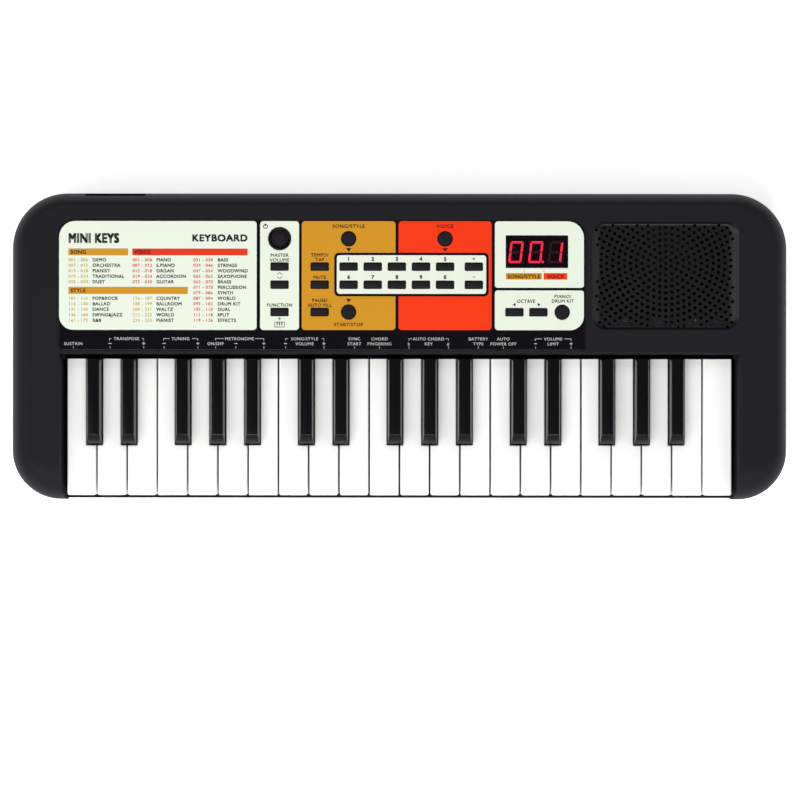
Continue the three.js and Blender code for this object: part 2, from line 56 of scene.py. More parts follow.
# ---- sizes taken from the frame
CASE_LOW, CASE_HIGH = cad_box("top_case")
PANEL_LOW, PANEL_HIGH = cad_box("control_panel")
DISPLAY_LOW, DISPLAY_HIGH = cad_box("display_window")
HALF_WIDTH = CASE_HIGH[0]
FRONT, REAR = CASE_LOW[1], CASE_HIGH[1]
TOP = DISPLAY_HIGH[2]  # flat top of the case
SPLIT_TOP = CASE_LOW[2]  # lower edge of the top case
SPLIT_BASE = cad_box("bottom_case")[1][2]  # upper edge of the bottom case
DOOR_LOW, DOOR_HIGH = cad_box("battery_door")
BASE = DOOR_LOW[2]  # underside of the bottom case
EDGE = 0.28  # rounding of the case's cut edges
WALL = 2.2  # thickness of the case
CEILING = TOP - 3  # inside of its flat top
REAR_RADIUS = 36  # of its corners, seen from above
FRONT_RADIUS = 32
# How far the case's rounded edges draw in, up to its flat top and down to its underside.
TOP_ROLL = {"side": 13, "rear": 10, "front": 22}
BASE_ROLL = {"side": 17, "rear": 15, "front": 17}
# The key opening: half its width at the parting line and at the top, and the top of the passage behind it.
WELL = {"low": 217.3, "high": 219.9, "passage_top": 43.5}
# The rear of the key opening: where its upright wall and its ledge stand, and the rounding above them.
LIP = {"wall": -4.8, "ledge": -7.8, "ledge_top": 44.7, "ledge_thickness": 1.5, "radius": 2.0}
# The low rail before the keys: its faces, its top and half its width.
RAIL = {"outer": -98.85, "inner": -97, "top": 25.5, "half": 217}
GRILLE = {"left": 124.4, "right": 219.7, "front": 11.3, "rear": 81.4, "radius": 8.6, "floor": 50.2}
SPEAKER_CENTRE = (172.5, 54.5)
HOLE_PITCH = 3.83  # between the rings of holes in the grille
SOCKETS = {"phones": -196, "usb": -176, "z": 37.5, "pocket_floor": 96.5}
BAY = {"left": -101, "right": -37, "front": 25.5, "rear": 81.5, "ceiling": 20.5}  # room for four AA cells
PRINT = 0.05  # thickness of a printed layer
SHEET_TOP = TOP + PRINT
WHITE_KEYS = sorted(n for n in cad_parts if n.startswith("white_key"))
BLACK_KEYS = sorted(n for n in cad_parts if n.startswith("black_key"))
ROUND_BUTTONS = ("song_style_button", "voice_button", "start_stop_button", "piano_button")
FLAT_BUTTONS = (
    "volume_up_button",
    "volume_down_button",
    "function_button",
    "tempo_button",
    "mute_button",
    "pause_button",
    "octave_down_button",
    "octave_up_button",
)
BUTTON_HOLE = (11.6, 5.2)  # width and depth
ROUND_HOLE = 4.85  # radius, as in the next two
POWER_HOLE = 5.9
POWER_COLLAR = 7.5


def centre(node):
    low, high = cad_box(node)
    return (low[0] + high[0]) / 2, (low[1] + high[1]) / 2


def keypad_places():
    """The centres of the keypad's caps: five close columns and one set apart, in two rows."""
    low, high = cad_box("number_keypad")
    margin, pitch = 6.7, 15.6
    columns = [low[0] + margin + pitch * i for i in range(5)] + [high[0] - margin]
    rows = (high[1] - 3.5, low[1] + 3.5)
    return [(x, y) for y in rows for x in columns]


KEYPAD = keypad_places()


# ---- materials
def linear(colour):
    """A colour given as 0 to 255 values in sRGB, as linear values with alpha."""
    values = []
    for c in colour:
        c = c / 255
        values.append(c / 12.92 if c <= 0.04045 else ((c + 0.055) / 1.055) ** 2.4)
    return (*values, 1.0)


def add_node(tree, kind, **values):
    """A new shader node, with constants on its own sockets."""
    node = tree.nodes.new(f"ShaderNode{kind}")
    for socket, value in values.items():
        node.inputs[socket.replace("_", " ")].default_value = value
    return node


def link_nodes(tree, links):
    for source, output, node, socket in links:
        tree.links.new(source.outputs[output], node.inputs[socket])


def surface(name, colour, roughness, grain=0.03, grain_size=0.9, mottle=0.04, edge=0.25, **sockets):
    """A moulded or printed surface: fine grain, slight unevenness of colour and gloss, and soft edges.

    grain_size and edge, the radius of the softened edges, are in millimetres. Any further value is that of
    the shader's socket of that name.
    """
    material = bpy.data.materials.new(name)
    material.use_nodes = True
    tree = material.node_tree
    shader = tree.nodes["Principled BSDF"]
    place = add_node(tree, "TexCoord")
    cloud = add_node(tree, "TexNoise", Scale=22.0, Detail=4.0)
    tint = add_node(tree, "Mix")
    tint.data_type = "RGBA"
    for socket, share in (("A", 1 - mottle), ("B", 1 + mottle)):
        tint.inputs[socket].default_value = (*(min(c * share, 1) for c in linear(colour)[:3]), 1)
    wear = 0.03
    gloss = add_node(tree, "MapRange", To_Min=max(roughness - wear, 0.02), To_Max=min(roughness + wear, 1))
    fine = add_node(tree, "TexNoise", Scale=1 / (grain_size * MM), Detail=2.0)
    soft = add_node(tree, "Bevel", Radius=edge * MM)
    soft.samples = 4
    bump = add_node(tree, "Bump", Strength=grain, Distance=0.0002)
    link_nodes(tree, (
        (place, "Object", cloud, "Vector"),
        (cloud, "Fac", tint, "Factor"),
        (tint, "Result", shader, "Base Color"),
        (cloud, "Fac", gloss, "Value"),
        (gloss, "Result", shader, "Roughness"),
        (place, "Object", fine, "Vector"),
        (fine, "Fac", bump, "Height"),
        (soft, "Normal", bump, "Normal"),
        (bump, "Normal", shader, "Normal"),
    ))
    for socket, value in sockets.items():
        shader.inputs[socket.replace("_", " ")].default_value = value
    return material


CASE = surface("case_plastic", (30, 29, 33), 0.55, grain=0.22, grain_size=0.7, Specular_IOR_Level=0.06)
GRILLE_PLASTIC = surface("grille_plastic", (9, 8, 11), 0.42, grain=0.2, Specular_IOR_Level=0.32)
# Near-black matte colour that paints the shade in the gap behind the keys.
GAP_SHADE = surface("painted_gap_shade", (5, 5, 6), 0.95, grain=0.5, Specular_IOR_Level=0.0)
FASCIA = surface("fascia_gloss", (14, 12, 17), 0.16, grain=0.01, Specular_IOR_Level=0.4)
INK_WHITE = surface("ink_white", (228, 236, 220), 0.32, grain=0.01, mottle=0.01)
INK_YELLOW = surface("ink_yellow", (205, 144, 31), 0.32, grain=0.01, mottle=0.02)
INK_OCHRE = surface("ink_ochre", (208, 178, 60), 0.32, grain=0.01, mottle=0.02)
INK_ORANGE = surface("ink_orange", (240, 54, 8), 0.32, grain=0.01, mottle=0.02)
INK_RED = surface("ink_red", (222, 52, 16), 0.35, grain=0.01)
INK_BLACK = surface("ink_black", (20, 20, 22), 0.35, grain=0.01)
INK_PALE = surface("ink_pale", (214, 217, 214), 0.4, grain=0.01)
WHITE_KEY = surface("white_key_plastic", (247, 247, 246), 0.22, grain=0.015, mottle=0.008)
BLACK_KEY = surface("black_key_plastic", (10, 10, 13), 0.2, grain_size=0.5, Specular_IOR_Level=0.45)
RUBBER = surface("button_rubber", (24, 22, 27), 0.62, grain=0.3, grain_size=0.35, Specular_IOR_Level=0.15)
FOOT_RUBBER = surface("foot_rubber", (24, 24, 25), 0.85, grain=0.4, grain_size=0.6)
LENS = surface("display_lens", (14, 4, 8), 0.08, grain=0, mottle=0.1)
LED_RED = (232, 26, 62)
LED_ON = surface("led_on", LED_RED, 0.3, grain=0, Emission_Color=linear(LED_RED), Emission_Strength=0.72)
LED_OFF = surface("led_off", (36, 21, 26), 0.25, grain=0)
FRAME_PLASTIC = surface("frame_plastic", (48, 48, 52), 0.6, grain=0.15)
BOARD = surface("circuit_board", (28, 84, 48), 0.35, grain=0.05, mottle=0.12)
SPEAKER_CONE = surface("speaker_driver", (20, 20, 22), 0.8, grain=0.3, grain_size=0.5)
STEEL = surface("plated_steel", (190, 190, 192), 0.28, grain=0.05, Metallic=1.0)
SPRING_STEEL = surface("contact_steel", (200, 198, 190), 0.25, grain=0.03, Metallic=1.0)
FLOOR = surface("floor_paper", (246, 246, 246), 0.9, grain=0.02, mottle=0.004, edge=0,
                Emission_Color=(1, 1, 1, 1), Emission_Strength=0.55)


# ---- mesh helpers
def make_object(name, mesh):
    piece = bpy.data.objects.new(name, mesh)
    bpy.context.scene.collection.objects.link(piece)
    return piece


def mesh_object(name, points, faces):
    """A mesh from points in millimetres."""
    mesh = bpy.data.meshes.new(name)
    mesh.from_pydata([tuple(c * MM for c in p) for p in points], [], faces)
    mesh.validate()
    return make_object(name, mesh)


def loft(name, rings):
    """A closed solid through rings of the same number of points, from the lowest up."""
    count = len(rings[0])
    points = [p for ring in rings for p in ring]
    faces = []
    for r in range(len(rings) - 1):
        for i in range(count):
            j = (i + 1) % count
            faces.append((r * count + i, r * count + j, (r + 1) * count + j, (r + 1) * count + i))
    faces.append(tuple(reversed(range(count))))
    faces.append(tuple(range((len(rings) - 1) * count, len(rings) * count)))
    return mesh_object(name, points, faces)


def rounded_outline(x0, x1, y0, y1, radii, steps=8):
    """Anticlockwise (x, y) points of a rectangle. radii run from front left, anticlockwise; each is a
    number or an (x, y) pair."""
    pairs = [r if isinstance(r, tuple) else (r, r) for r in radii]
    corners = (
        (x0 + pairs[0][0], y0 + pairs[0][1], pairs[0], 180),
        (x1 - pairs[1][0], y0 + pairs[1][1], pairs[1], 270),
        (x1 - pairs[2][0], y1 - pairs[2][1], pairs[2], 0),
        (x0 + pairs[3][0], y1 - pairs[3][1], pairs[3], 90),
    )
    outline = []
    for x, y, (rx, ry), start in corners:
        count = steps if rx > 0 else 0
        for i in range(count + 1):
            angle = math.radians(start + (90 * i / count if count else 0))
            outline.append((x + rx * math.cos(angle), y + ry * math.sin(angle)))
    return outline


def rectangle(x0, x1, y0, y1):
    return rounded_outline(x0, x1, y0, y1, (0,) * 4)


def rounded_box(x, y, half_width, half_depth, radius, steps):
    """A rounded rectangle about (x, y)."""
    sides = x - half_width, x + half_width, y - half_depth, y + half_depth
    return rounded_outline(*sides, (radius,) * 4, steps)


def circle_outline(x, y, radius, steps=32):
    angles = [2 * math.pi * i / steps for i in range(steps)]
    return [(x + radius * math.cos(a), y + radius * math.sin(a)) for a in angles]


def inset(outline, distance):
    """The outline moved inwards by distance at every side."""
    moved = []
    for i, point in enumerate(outline):
        before, after = Vector(outline[i - 1]), Vector(outline[(i + 1) % len(outline)])
        here = Vector(point)
        a = (here - before).normalized()
        b = (after - here).normalized()
        normal_a, normal_b = Vector((-a.y, a.x)), Vector((-b.y, b.x))
        middle = (normal_a + normal_b).normalized()
        moved.append(tuple(here + middle * distance / max(middle.dot(normal_a), 0.3)))
    return moved


def at_height(outline, z):
    return [(x, y, z) for x, y in outline]


def rounded_prism(name, outline, z0, z1, rim, foot=0.0, steps=4):
    """An upright solid with its top edge rounded by rim and its bottom edge by foot."""
    rings = []
    for i in range(steps + 1 if foot else 1):
        angle = math.pi / 2 * (1 - i / steps) if foot else 0
        ring = inset(outline, foot * (1 - math.cos(angle)))
        rings.append(at_height(ring, z0 + foot * (1 - math.sin(angle))))
    for i in range(steps + 1):
        angle = math.pi / 2 * i / steps
        ring = inset(outline, rim * (1 - math.cos(angle)))
        rings.append(at_height(ring, z1 - rim + rim * math.sin(angle)))
    return loft(name, rings)


def prism(name, outline, z0, z1):
    return loft(name, [at_height(outline, z) for z in (z0, z1)])


def block(name, x0, x1, y0, y1, z0, z1):
    return prism(name, rectangle(x0, x1, y0, y1), z0, z1)


def revolved(name, profile, x, y, z, steps=48):
    """A closed solid from (radius, height) points, turned about a vertical axis. The first and the last
    point lie on the axis."""
    points = [(x, y, z + profile[0][1])]
    rings = profile[1:-1]
    for radius, height in rings:
        points += [(px, py, z + height) for px, py in circle_outline(x, y, radius, steps)]
    points.append((x, y, z + profile[-1][1]))
    last = len(points) - 1
    faces = []
    for i in range(steps):
        j = (i + 1) % steps
        faces.append((0, 1 + j, 1 + i))
        for r in range(len(rings) - 1):
            low, high = 1 + r * steps, 1 + (r + 1) * steps
            faces.append((low + i, low + j, high + j, high + i))
        top = 1 + (len(rings) - 1) * steps
        faces.append((top + i, top + j, last))
    return mesh_object(name, points, faces)


def bake(piece):
    """Applies the piece's modifiers."""
    graph = bpy.context.evaluated_depsgraph_get()
    mesh = bpy.data.meshes.new_from_object(piece.evaluated_get(graph))
    piece.modifiers.clear()
    piece.data = mesh


def carve(piece, cutters, operation="DIFFERENCE"):
    """Cuts the cutters from the piece, or joins them to it, and removes them."""
    for cutter in cutters:
        modifier = piece.modifiers.new("carve", "BOOLEAN")
        modifier.operation = operation
        modifier.solver = "EXACT"
        modifier.object = cutter
    bake(piece)
    for cutter in cutters:
        bpy.data.objects.remove(cutter)
    return piece


def bevelled(piece, width, segments=2):
    """Rounds the edges at which the piece turns by more than 35 degrees."""
    modifier = piece.modifiers.new("bevel", "BEVEL")
    modifier.width = width * MM
    modifier.segments = segments
    modifier.limit_method = "ANGLE"
    modifier.angle_limit = math.radians(35)
    modifier.use_clamp_overlap = True
    bake(piece)
    return piece


def joined(pieces):
    """The pieces as one object, under the first one's name."""
    build = bmesh.new()
    for piece in pieces:
        build.from_mesh(piece.data)
    first = pieces[0]
    build.to_mesh(first.data)
    build.free()
    for piece in pieces[1:]:
        bpy.data.objects.remove(piece)
    return first


def finish(piece, body, material, nodes=(), smooth=32, even=False):
    """Gives the piece its material and smooth shading, and makes it ride on its body. With even, large flat
    faces keep their own normals next to narrow rounded ones."""
    piece.data.materials.clear()
    piece.data.materials.append(material)
    piece.data.polygons.foreach_set("use_smooth", [True] * len(piece.data.polygons))
    piece.data.set_sharp_from_angle(angle=math.radians(smooth))
    if even:
        modifier = piece.modifiers.new("normals", "WEIGHTED_NORMAL")
        modifier.keep_sharp = True
        bake(piece)
    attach(piece, body)
    if nodes:
        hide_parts(*nodes)
    return piece


def finish_print(piece, ink):
    return finish(piece, "case", ink)


def cad_copy(name, node):
    """A copy of a CAD node's solid with its flat faces merged, ready to be refined."""
    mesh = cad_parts[node].data.copy()
    build = bmesh.new()
    build.from_mesh(mesh)
    bmesh.ops.remove_doubles(build, verts=build.verts, dist=1e-6)
    bmesh.ops.dissolve_limit(build, angle_limit=math.radians(0.5), verts=build.verts, edges=build.edges)
    build.to_mesh(mesh)
    build.free()
    return make_object(name, mesh)


def weighted_bevel(piece, weight_of, width):
    """Rounds the piece's sharp edges. weight_of(middle, along) gives an edge's share of width, from the
    edge's middle in millimetres and its direction."""
    build = bmesh.new()
    build.from_mesh(piece.data)
    weights = build.edges.layers.float.new("bevel_weight_edge")
    for edge in build.edges:
        a, b = (v.co / MM for v in edge.verts)
        sharp = len(edge.link_faces) == 2 and edge.calc_face_angle(0) > math.radians(25)
        edge[weights] = weight_of((a + b) / 2, (b - a).normalized()) if sharp else 0
    build.to_mesh(piece.data)
    build.free()
    modifier = piece.modifiers.new("bevel", "BEVEL")
    modifier.width = width * MM
    modifier.segments = 3
    modifier.limit_method = "WEIGHT"
    modifier.use_clamp_overlap = True
    bake(piece)
    return piece


# ---- the case
def body_ring(roll, share, wall, z, steps):
    """The case's outline at height z, drawn in by a share of the roll and by a wall."""
    side = roll["side"] * share + wall
    front = roll["front"] * share + wall
    rear = roll["rear"] * share + wall
    front_radius = (FRONT_RADIUS - side, FRONT_RADIUS - front)
    rear_radius = (REAR_RADIUS - side, REAR_RADIUS - rear)
    half = HALF_WIDTH - side
    radii = (front_radius, front_radius, rear_radius, rear_radius)
    return at_height(rounded_outline(-half, half, FRONT + front, REAR - rear, radii, steps), z)


def body_half(name, roll, start, end, wall, levels=14, steps=20):
    """Half of the case from the parting line to its flat end, along a quarter ellipse."""
    rings = []
    for i in range(levels + 1):
        angle = math.pi / 2 * i / levels
        z = start + (end - start) * math.sin(angle)
        rings.append(body_ring(roll, 1 - math.cos(angle), wall, z, steps))
    return loft(name, rings if end > start else rings[::-1])


def lip_profile(ledge_top):
    """(y, z) points up the rear of the key opening: a ledge, an upright wall and a rounded lip."""
    wall, radius, steps = LIP["wall"], LIP["radius"], 6
    points = [(LIP["ledge"], 20), (LIP["ledge"], ledge_top), (wall, ledge_top + 0.02)]
    for i in range(steps + 1):
        angle = math.pi - math.pi / 2 * i / steps
        points.append((wall + radius + radius * math.cos(angle), TOP - radius + radius * math.sin(angle)))
    return points + [(wall + radius, 60)]


def key_opening(name, wall=0.0):
    """The space over the keys. With a wall it is the space and the material about it."""
    draft = (WELL["high"] - WELL["low"]) / (TOP - SPLIT_TOP)
    ledge_top = LIP["ledge_top"] - (LIP["ledge_thickness"] if wall else 0)
    rings = []
    for rear, z in lip_profile(ledge_top):
        half = WELL["low"] + (z - SPLIT_TOP) * draft + wall
        rings.append(at_height(rectangle(-half, half, 2 * FRONT, rear + wall), z))
    return loft(name, rings)


def build_gap_shade():
    """A near-black strip on the ledge behind the keys: painted shade for the dark gap there."""
    felt = block("painted_gap_shade", -WELL["low"] + 0.4, WELL["low"] - 0.4, LIP["ledge"] + 0.1, LIP["wall"] - 0.05,
                 LIP["ledge_top"] + 0.01, LIP["ledge_top"] + 0.5)
    finish(felt, "case", GAP_SHADE)


def along_y(name, outline, front, rear):
    """A solid with its (x, z) outline drawn out from front to rear."""
    return loft(name, [[(x, y, z) for x, z in outline] for y in (rear, front)])


def socket_cutters():
    """The pocket in the rear wall, and the holes in it for the headphone and the USB socket."""
    phones, usb, middle = SOCKETS["phones"], SOCKETS["usb"], SOCKETS["z"]
    pocket = rounded_outline(phones - 9, usb + 11, middle - 6, middle + 6, (2,) * 4, 6)
    slot = rounded_outline(usb - 4.4, usb + 4.4, middle - 2, middle + 2, (0.8,) * 4, 3)
    hole_front, hole_rear = 90, 99
    return [
        along_y("pocket", pocket, SOCKETS["pocket_floor"], REAR + 4.6),
        along_y("jack", circle_outline(phones, middle, 3.6), hole_front, hole_rear),
        along_y("usb", slot, hole_front, hole_rear),
    ]


def grille_outline(steps):
    return rounded_outline(
        GRILLE["left"], GRILLE["right"], GRILLE["front"], GRILLE["rear"], (GRILLE["radius"],) * 4, steps)


def build_top_case():
    """The upper half of the case, with room for the keys, the panel, the grille and the sockets."""
    shell = body_half("top_case_shell", TOP_ROLL, SPLIT_TOP, TOP, 0)
    cavity = body_half("cavity", TOP_ROLL, SPLIT_TOP - 1, CEILING, WALL, 6, 8)
    carve(cavity, [key_opening("well_walls", wall=2)])
    carve(cavity, [block("socket_wall", SOCKETS["phones"] - 12, SOCKETS["usb"] + 14, 94.8, 101, 29, 46)])
    passage = block("passage", -WELL["low"], WELL["low"], -20, 10, 15, WELL["passage_top"])
    margin = 0.25
    x0, x1 = PANEL_LOW[0] - margin, PANEL_HIGH[0] + margin
    y0, y1 = PANEL_LOW[1] - margin, PANEL_HIGH[1] + margin
    recess = prism("recess", rounded_outline(x0, x1, y0, y1, (2.8, 2.8, 10.6, 10.6)), TOP - 1.5, TOP + 2)
    window = block("window", -215, 116, 12, 79, CEILING - 5, TOP + 1)
    dish = prism("dish", grille_outline(8), CEILING - 1, TOP + 1)
    carve(shell, [cavity, passage, key_opening("well"), recess, window, dish])
    carve(shell, socket_cutters())
    bevelled(shell, EDGE)
    finish(shell, "case", CASE, ["top_case"], even=True)


def mesh_of(curve):
    """The mesh of a curve or of lettering."""
    source = make_object(curve.name, curve)
    mesh = bpy.data.meshes.new_from_object(source)
    bpy.data.objects.remove(source)
    return mesh


def flat_shape(name, outline, holes, z, thickness):
    """A flat plate with holes, from z up."""
    curve = bpy.data.curves.new(name, "CURVE")
    curve.dimensions = "2D"
    curve.fill_mode = "BOTH"
    curve.extrude = thickness / 2 * MM
    for ring in [outline, *holes]:
        spline = curve.splines.new("POLY")
        spline.points.add(len(ring) - 1)
        for point, (x, y) in zip(spline.points, ring):
            point.co = (x * MM, y * MM, 0, 1)
        spline.use_cyclic_u = True
    mesh = mesh_of(curve)
    mesh.transform(Matrix.Translation((0, 0, (z + thickness / 2) * MM)))
    return make_object(name, mesh)


def dish_depth(x, y):
    """How deep the dish of the grille is at a point: gentle slopes at the sides, short ones at the ends."""
    side_slope, end_slope = 7.5, 2.4
    radius = GRILLE["radius"]
    dx = max(GRILLE["left"] + radius - x, x - GRILLE["right"] + radius, 0)
    dy = max(GRILLE["front"] + radius - y, y - GRILLE["rear"] + radius, 0)
    if dx == 0 and dy == 0:
        return TOP - GRILLE["floor"]
    out = math.hypot(dx, dy)
    slope = (side_slope * dx * dx + end_slope * dy * dy) / (out * out)
    share = min(max((radius - out) / slope, 0), 1)
    return (TOP - GRILLE["floor"]) * math.sin(math.pi / 2 * share)


def slice_across(piece, place, axis):
    """Adds a line of points across a sheet, so that it can bend there."""
    build = bmesh.new()
    build.from_mesh(piece.data)
    whole = build.verts[:] + build.edges[:] + build.faces[:]
    bmesh.ops.bisect_plane(build, geom=whole, plane_co=Vector(axis) * place * MM, plane_no=axis)
    build.to_mesh(piece.data)
    build.free()


def build_grille():
    """The dished sheet of the grille, with rings of round holes about the speaker."""
    thickness, margin, side_margin = 1.2, 1.7, 1.2
    full_hole, small_hole, full_reach = 1.2, 0.95, 12
    side_step, end_step = 1.05, 0.6  # between the lines where the slopes bend
    x0, x1, y0, y1 = GRILLE["left"], GRILLE["right"], GRILLE["front"], GRILLE["rear"]
    radius = GRILLE["radius"]
    holes = []
    for ring in range(36):
        count = max(6 * ring, 1)
        for i in range(count):
            angle = math.pi / 2 + 2 * math.pi * i / count
            x = SPEAKER_CENTRE[0] + ring * HOLE_PITCH * math.cos(angle)
            y = SPEAKER_CENTRE[1] + ring * HOLE_PITCH * math.sin(angle)
            reach = min(x - x0 - side_margin, x1 - side_margin - x, y - y0, y1 - y)
            if reach < margin or outside_corner(x, y, (x0, x1, y0, y1), radius, margin):
                continue
            share = min((reach - margin) / (full_reach - margin), 1)
            holes.append(circle_outline(x, y, small_hole + (full_hole - small_hole) * share, 10))
    sheet = flat_shape("grille_sheet", grille_outline(12), holes, TOP - thickness, thickness)
    for step in range(1, 9):
        for inward in (step, -step):
            slice_across(sheet, (x0 if inward > 0 else x1) + inward * side_step, (1, 0, 0))
            slice_across(sheet, (y0 if inward > 0 else y1) + inward * end_step, (0, 1, 0))
    for vertex in sheet.data.vertices:
        vertex.co.z -= dish_depth(vertex.co.x / MM, vertex.co.y / MM) * MM
    finish(sheet, "case", GRILLE_PLASTIC, smooth=50)


def outside_corner(x, y, box, radius, margin):
    """Whether a point is outside the round corner of a box, or closer to it than margin."""
    x0, x1, y0, y1 = box
    dx = max(x0 + radius - x, x - (x1 - radius), 0)
    dy = max(y0 + radius - y, y - (y1 - radius), 0)
    return dx > 0 and dy > 0 and math.hypot(dx, dy) > radius - margin


def build_bottom_case():
    """The lower half of the case, with the front rail, the battery bay and the screw wells."""
    shell = body_half("bottom_case_shell", BASE_ROLL, SPLIT_BASE, BASE, 0)
    cavity = body_half("base_cavity", BASE_ROLL, SPLIT_BASE + 1, BASE + WALL, WALL, 6, 8)
    x0, x1, y0, y1 = BAY["left"], BAY["right"], BAY["front"], BAY["rear"]
    bay = block("bay_block", x0 - 3.6, x1 + 3.6, y0 - 3.1, y1 + 3.9, BASE + 1, BAY["ceiling"] + 1.6)
    carve(cavity, [bay])
    half, outer, inner, top = RAIL["half"], RAIL["outer"], RAIL["inner"], RAIL["top"]
    carve(cavity, [block("rail_core", -half, half, outer - 1, inner, BASE - 1, SPLIT_BASE + 2)])
    cuts = [
        cavity,
        block("rail_front", -half, half, 2 * FRONT, outer, 0, SPLIT_BASE + 1),
        block("rail_top", -half, half, 2 * FRONT, inner + 2, top, SPLIT_BASE + 1),
        block("bay", x0, x1, y0, y1, BASE - 1, BAY["ceiling"]),
        block("door_seat", DOOR_LOW[0] - 0.4, DOOR_HIGH[0] + 0.4, 22.6, 84.4, 0, 4.15),
        block("latch_notch", -76, -62, 20, 24, 0, 3.9),
    ]
    for x, y in SCREWS:
        cuts.append(prism("well", circle_outline(x, y, 3.6, 24), 0, BASE + 3.5))
    carve(shell, cuts)
    bevelled(shell, EDGE)
    finish(shell, "case", CASE, ["bottom_case"], even=True)


# (x, y) of the case screws and of the rubber feet.
SCREWS = [(side * 230, y) for side in (-1, 1) for y in (-62, 8, 72)] + [(0, -70), (0, 60)]
FEET = [(side * 200, y) for side in (-1, 1) for y in (-62, 66)]


def build_screws():
    """Pan-head screws at the bottom of their wells, with crossed recesses."""
    for number, (x, y) in enumerate(SCREWS, 1):
        head = BASE + 1.4
        profile = [(0, 0), (1.6, 0), (2.5, 0.7), (2.8, 1.5), (2.8, 2.0), (1.4, 2.0), (1.3, 3.4), (0, 3.6)]
        screw = revolved(f"case_screw_{number}", profile, x, y, head, 24)
        slots = []
        for turn in (0, 1):
            a, b = (1.7, 0.35) if turn else (0.35, 1.7)
            slots.append(block("slot", x - a, x + a, y - b, y + b, head - 1, head + 0.8))
        carve(screw, slots)
        finish(screw, "case", STEEL)


def build_feet():
    """Round rubber feet under the four pads."""
    for number, (x, y) in enumerate(FEET, 1):
        foot = rounded_prism(f"rubber_foot_{number}", circle_outline(x, y, 7, 40), 0, BASE, 0.1, 0.7)
        finish(foot, "case", FOOT_RUBBER)


def build_battery_door():
    """The battery door, with five grip ribs near its latch."""
    door = cad_copy("battery_door_shell", "battery_door")
    bevelled(door, 0.35)
    middle = (DOOR_LOW[0] + DOOR_HIGH[0]) / 2
    ribs = []
    for i in range(5):
        y = DOOR_LOW[1] + 7 + i * 2.2
        outline = rounded_box(middle, y, 9, 0.5, 0.45, 4)
        ribs.append(rounded_prism(f"rib_{i}", outline, BASE - 0.5, BASE + 0.5, 0.05, 0.35))
    carve(door, ribs, "UNION")
    finish(door, "battery_door", CASE, ["battery_door"])


def build_battery_contacts():
    """Flat plates and coil springs at both ends of the four cells."""
    low, high, top = BAY["front"] + 0.2, BAY["rear"] - 0.2, BAY["ceiling"] - 0.2
    cells = 4
    pitch = (BAY["right"] - BAY["left"]) / cells
    for i in range(cells):
        x = BAY["left"] + pitch * (i + 0.5)
        for end, y in (("front", low), ("rear", high)):
            side = 1 if end == "front" else -1
            plate = block(f"contact_plate_{end}_{i + 1}", x - 5, x + 5, min(y, y + side * 0.3),
                          max(y, y + side * 0.3), 7, top - 3)
            bevelled(plate, 0.1)
            finish(plate, "case", SPRING_STEEL)
            if (i % 2 == 0) == (end == "front"):
                build_spring(f"contact_spring_{i + 1}", x, y + side * 0.3, side, 12.5)


def build_spring(name, x, y, side, z):
    """A coil spring that narrows away from its plate."""
    turns, length, steps = 4, 6.0, 20
    curve = bpy.data.curves.new(name, "CURVE")
    curve.dimensions = "3D"
    curve.bevel_depth = 0.3 * MM
    curve.bevel_resolution = 1
    spline = curve.splines.new("POLY")
    spline.points.add(turns * steps)
    for i, point in enumerate(spline.points):
        share = i / (turns * steps)
        angle = 2 * math.pi * turns * share
        radius = 4.2 - 2.2 * share
        where = (x + radius * math.cos(angle), y + side * length * share, z + radius * math.sin(angle))
        point.co = (*(c * MM for c in where), 1)
    finish(make_object(name, mesh_of(curve)), "case", SPRING_STEEL)


# ---- the control panel
def button_holes(grow=0.0):
    """The outlines of every hole in the panel for a button."""
    width, depth = BUTTON_HOLE[0] / 2 + grow, BUTTON_HOLE[1] / 2 + grow
    holes = []
    for x, y in [centre(n) for n in FLAT_BUTTONS] + KEYPAD:
        holes.append(rounded_box(x, y, width, depth, 0.7 + grow, 4))
    for x, y in [centre(n) for n in ROUND_BUTTONS]:
        holes.append(circle_outline(x, y, ROUND_HOLE + grow))
    holes.append(circle_outline(*centre("power_button"), POWER_HOLE + grow))
    return holes


def display_outline(grow=0.0):
    x0, x1 = DISPLAY_LOW[0] - grow, DISPLAY_HIGH[0] + grow
    return rounded_outline(x0, x1, DISPLAY_LOW[1] - grow, DISPLAY_HIGH[1] + grow, (0.6,) * 4, 4)


def build_panel():
    """The glossy black plate, with a hole for each button and for the display."""
    outline = rounded_outline(
        PANEL_LOW[0], PANEL_HIGH[0], PANEL_LOW[1], PANEL_HIGH[1], (2.6, 2.6, 10.4, 10.4), 12)
    plate = rounded_prism("fascia_plate", outline, PANEL_LOW[2], TOP, 0.35)
    cutters = []
    for hole in [*button_holes(), display_outline(0.15)]:
        cutters.append(prism("hole", hole, PANEL_LOW[2] - 1, TOP + 1))
    carve(plate, [joined(cutters)])
    finish(plate, "case", FASCIA, ["control_panel"], even=True)
    x, y = centre("power_button")
    low, high, rim = TOP - 0.2, PANEL_HIGH[2], 0.3
    profile = [
        (POWER_HOLE, low),
        (POWER_COLLAR, low),
        (POWER_COLLAR, high - rim),
        (POWER_COLLAR - rim, high),
        (POWER_HOLE + rim, high),
        (POWER_HOLE, high - rim),
    ]
    finish_print(ring_solid("power_collar", profile, x, y), FASCIA)


def ring_solid(name, profile, x, y, steps=48):
    """A closed ring: the profile's (radius, z) points, turned about a vertical axis."""
    count = len(profile)
    points = []
    for i in range(steps):
        angle = 2 * math.pi * i / steps
        points += [(x + r * math.cos(angle), y + r * math.sin(angle), z) for r, z in profile]
    faces = []
    for i in range(steps):
        j = (i + 1) % steps
        for k in range(count):
            m = (k + 1) % count
            faces.append((i * count + k, j * count + k, j * count + m, i * count + m))
    return mesh_object(name, points, faces)


FIELD_FRONT, FIELD_REAR = 10.95, 81.4
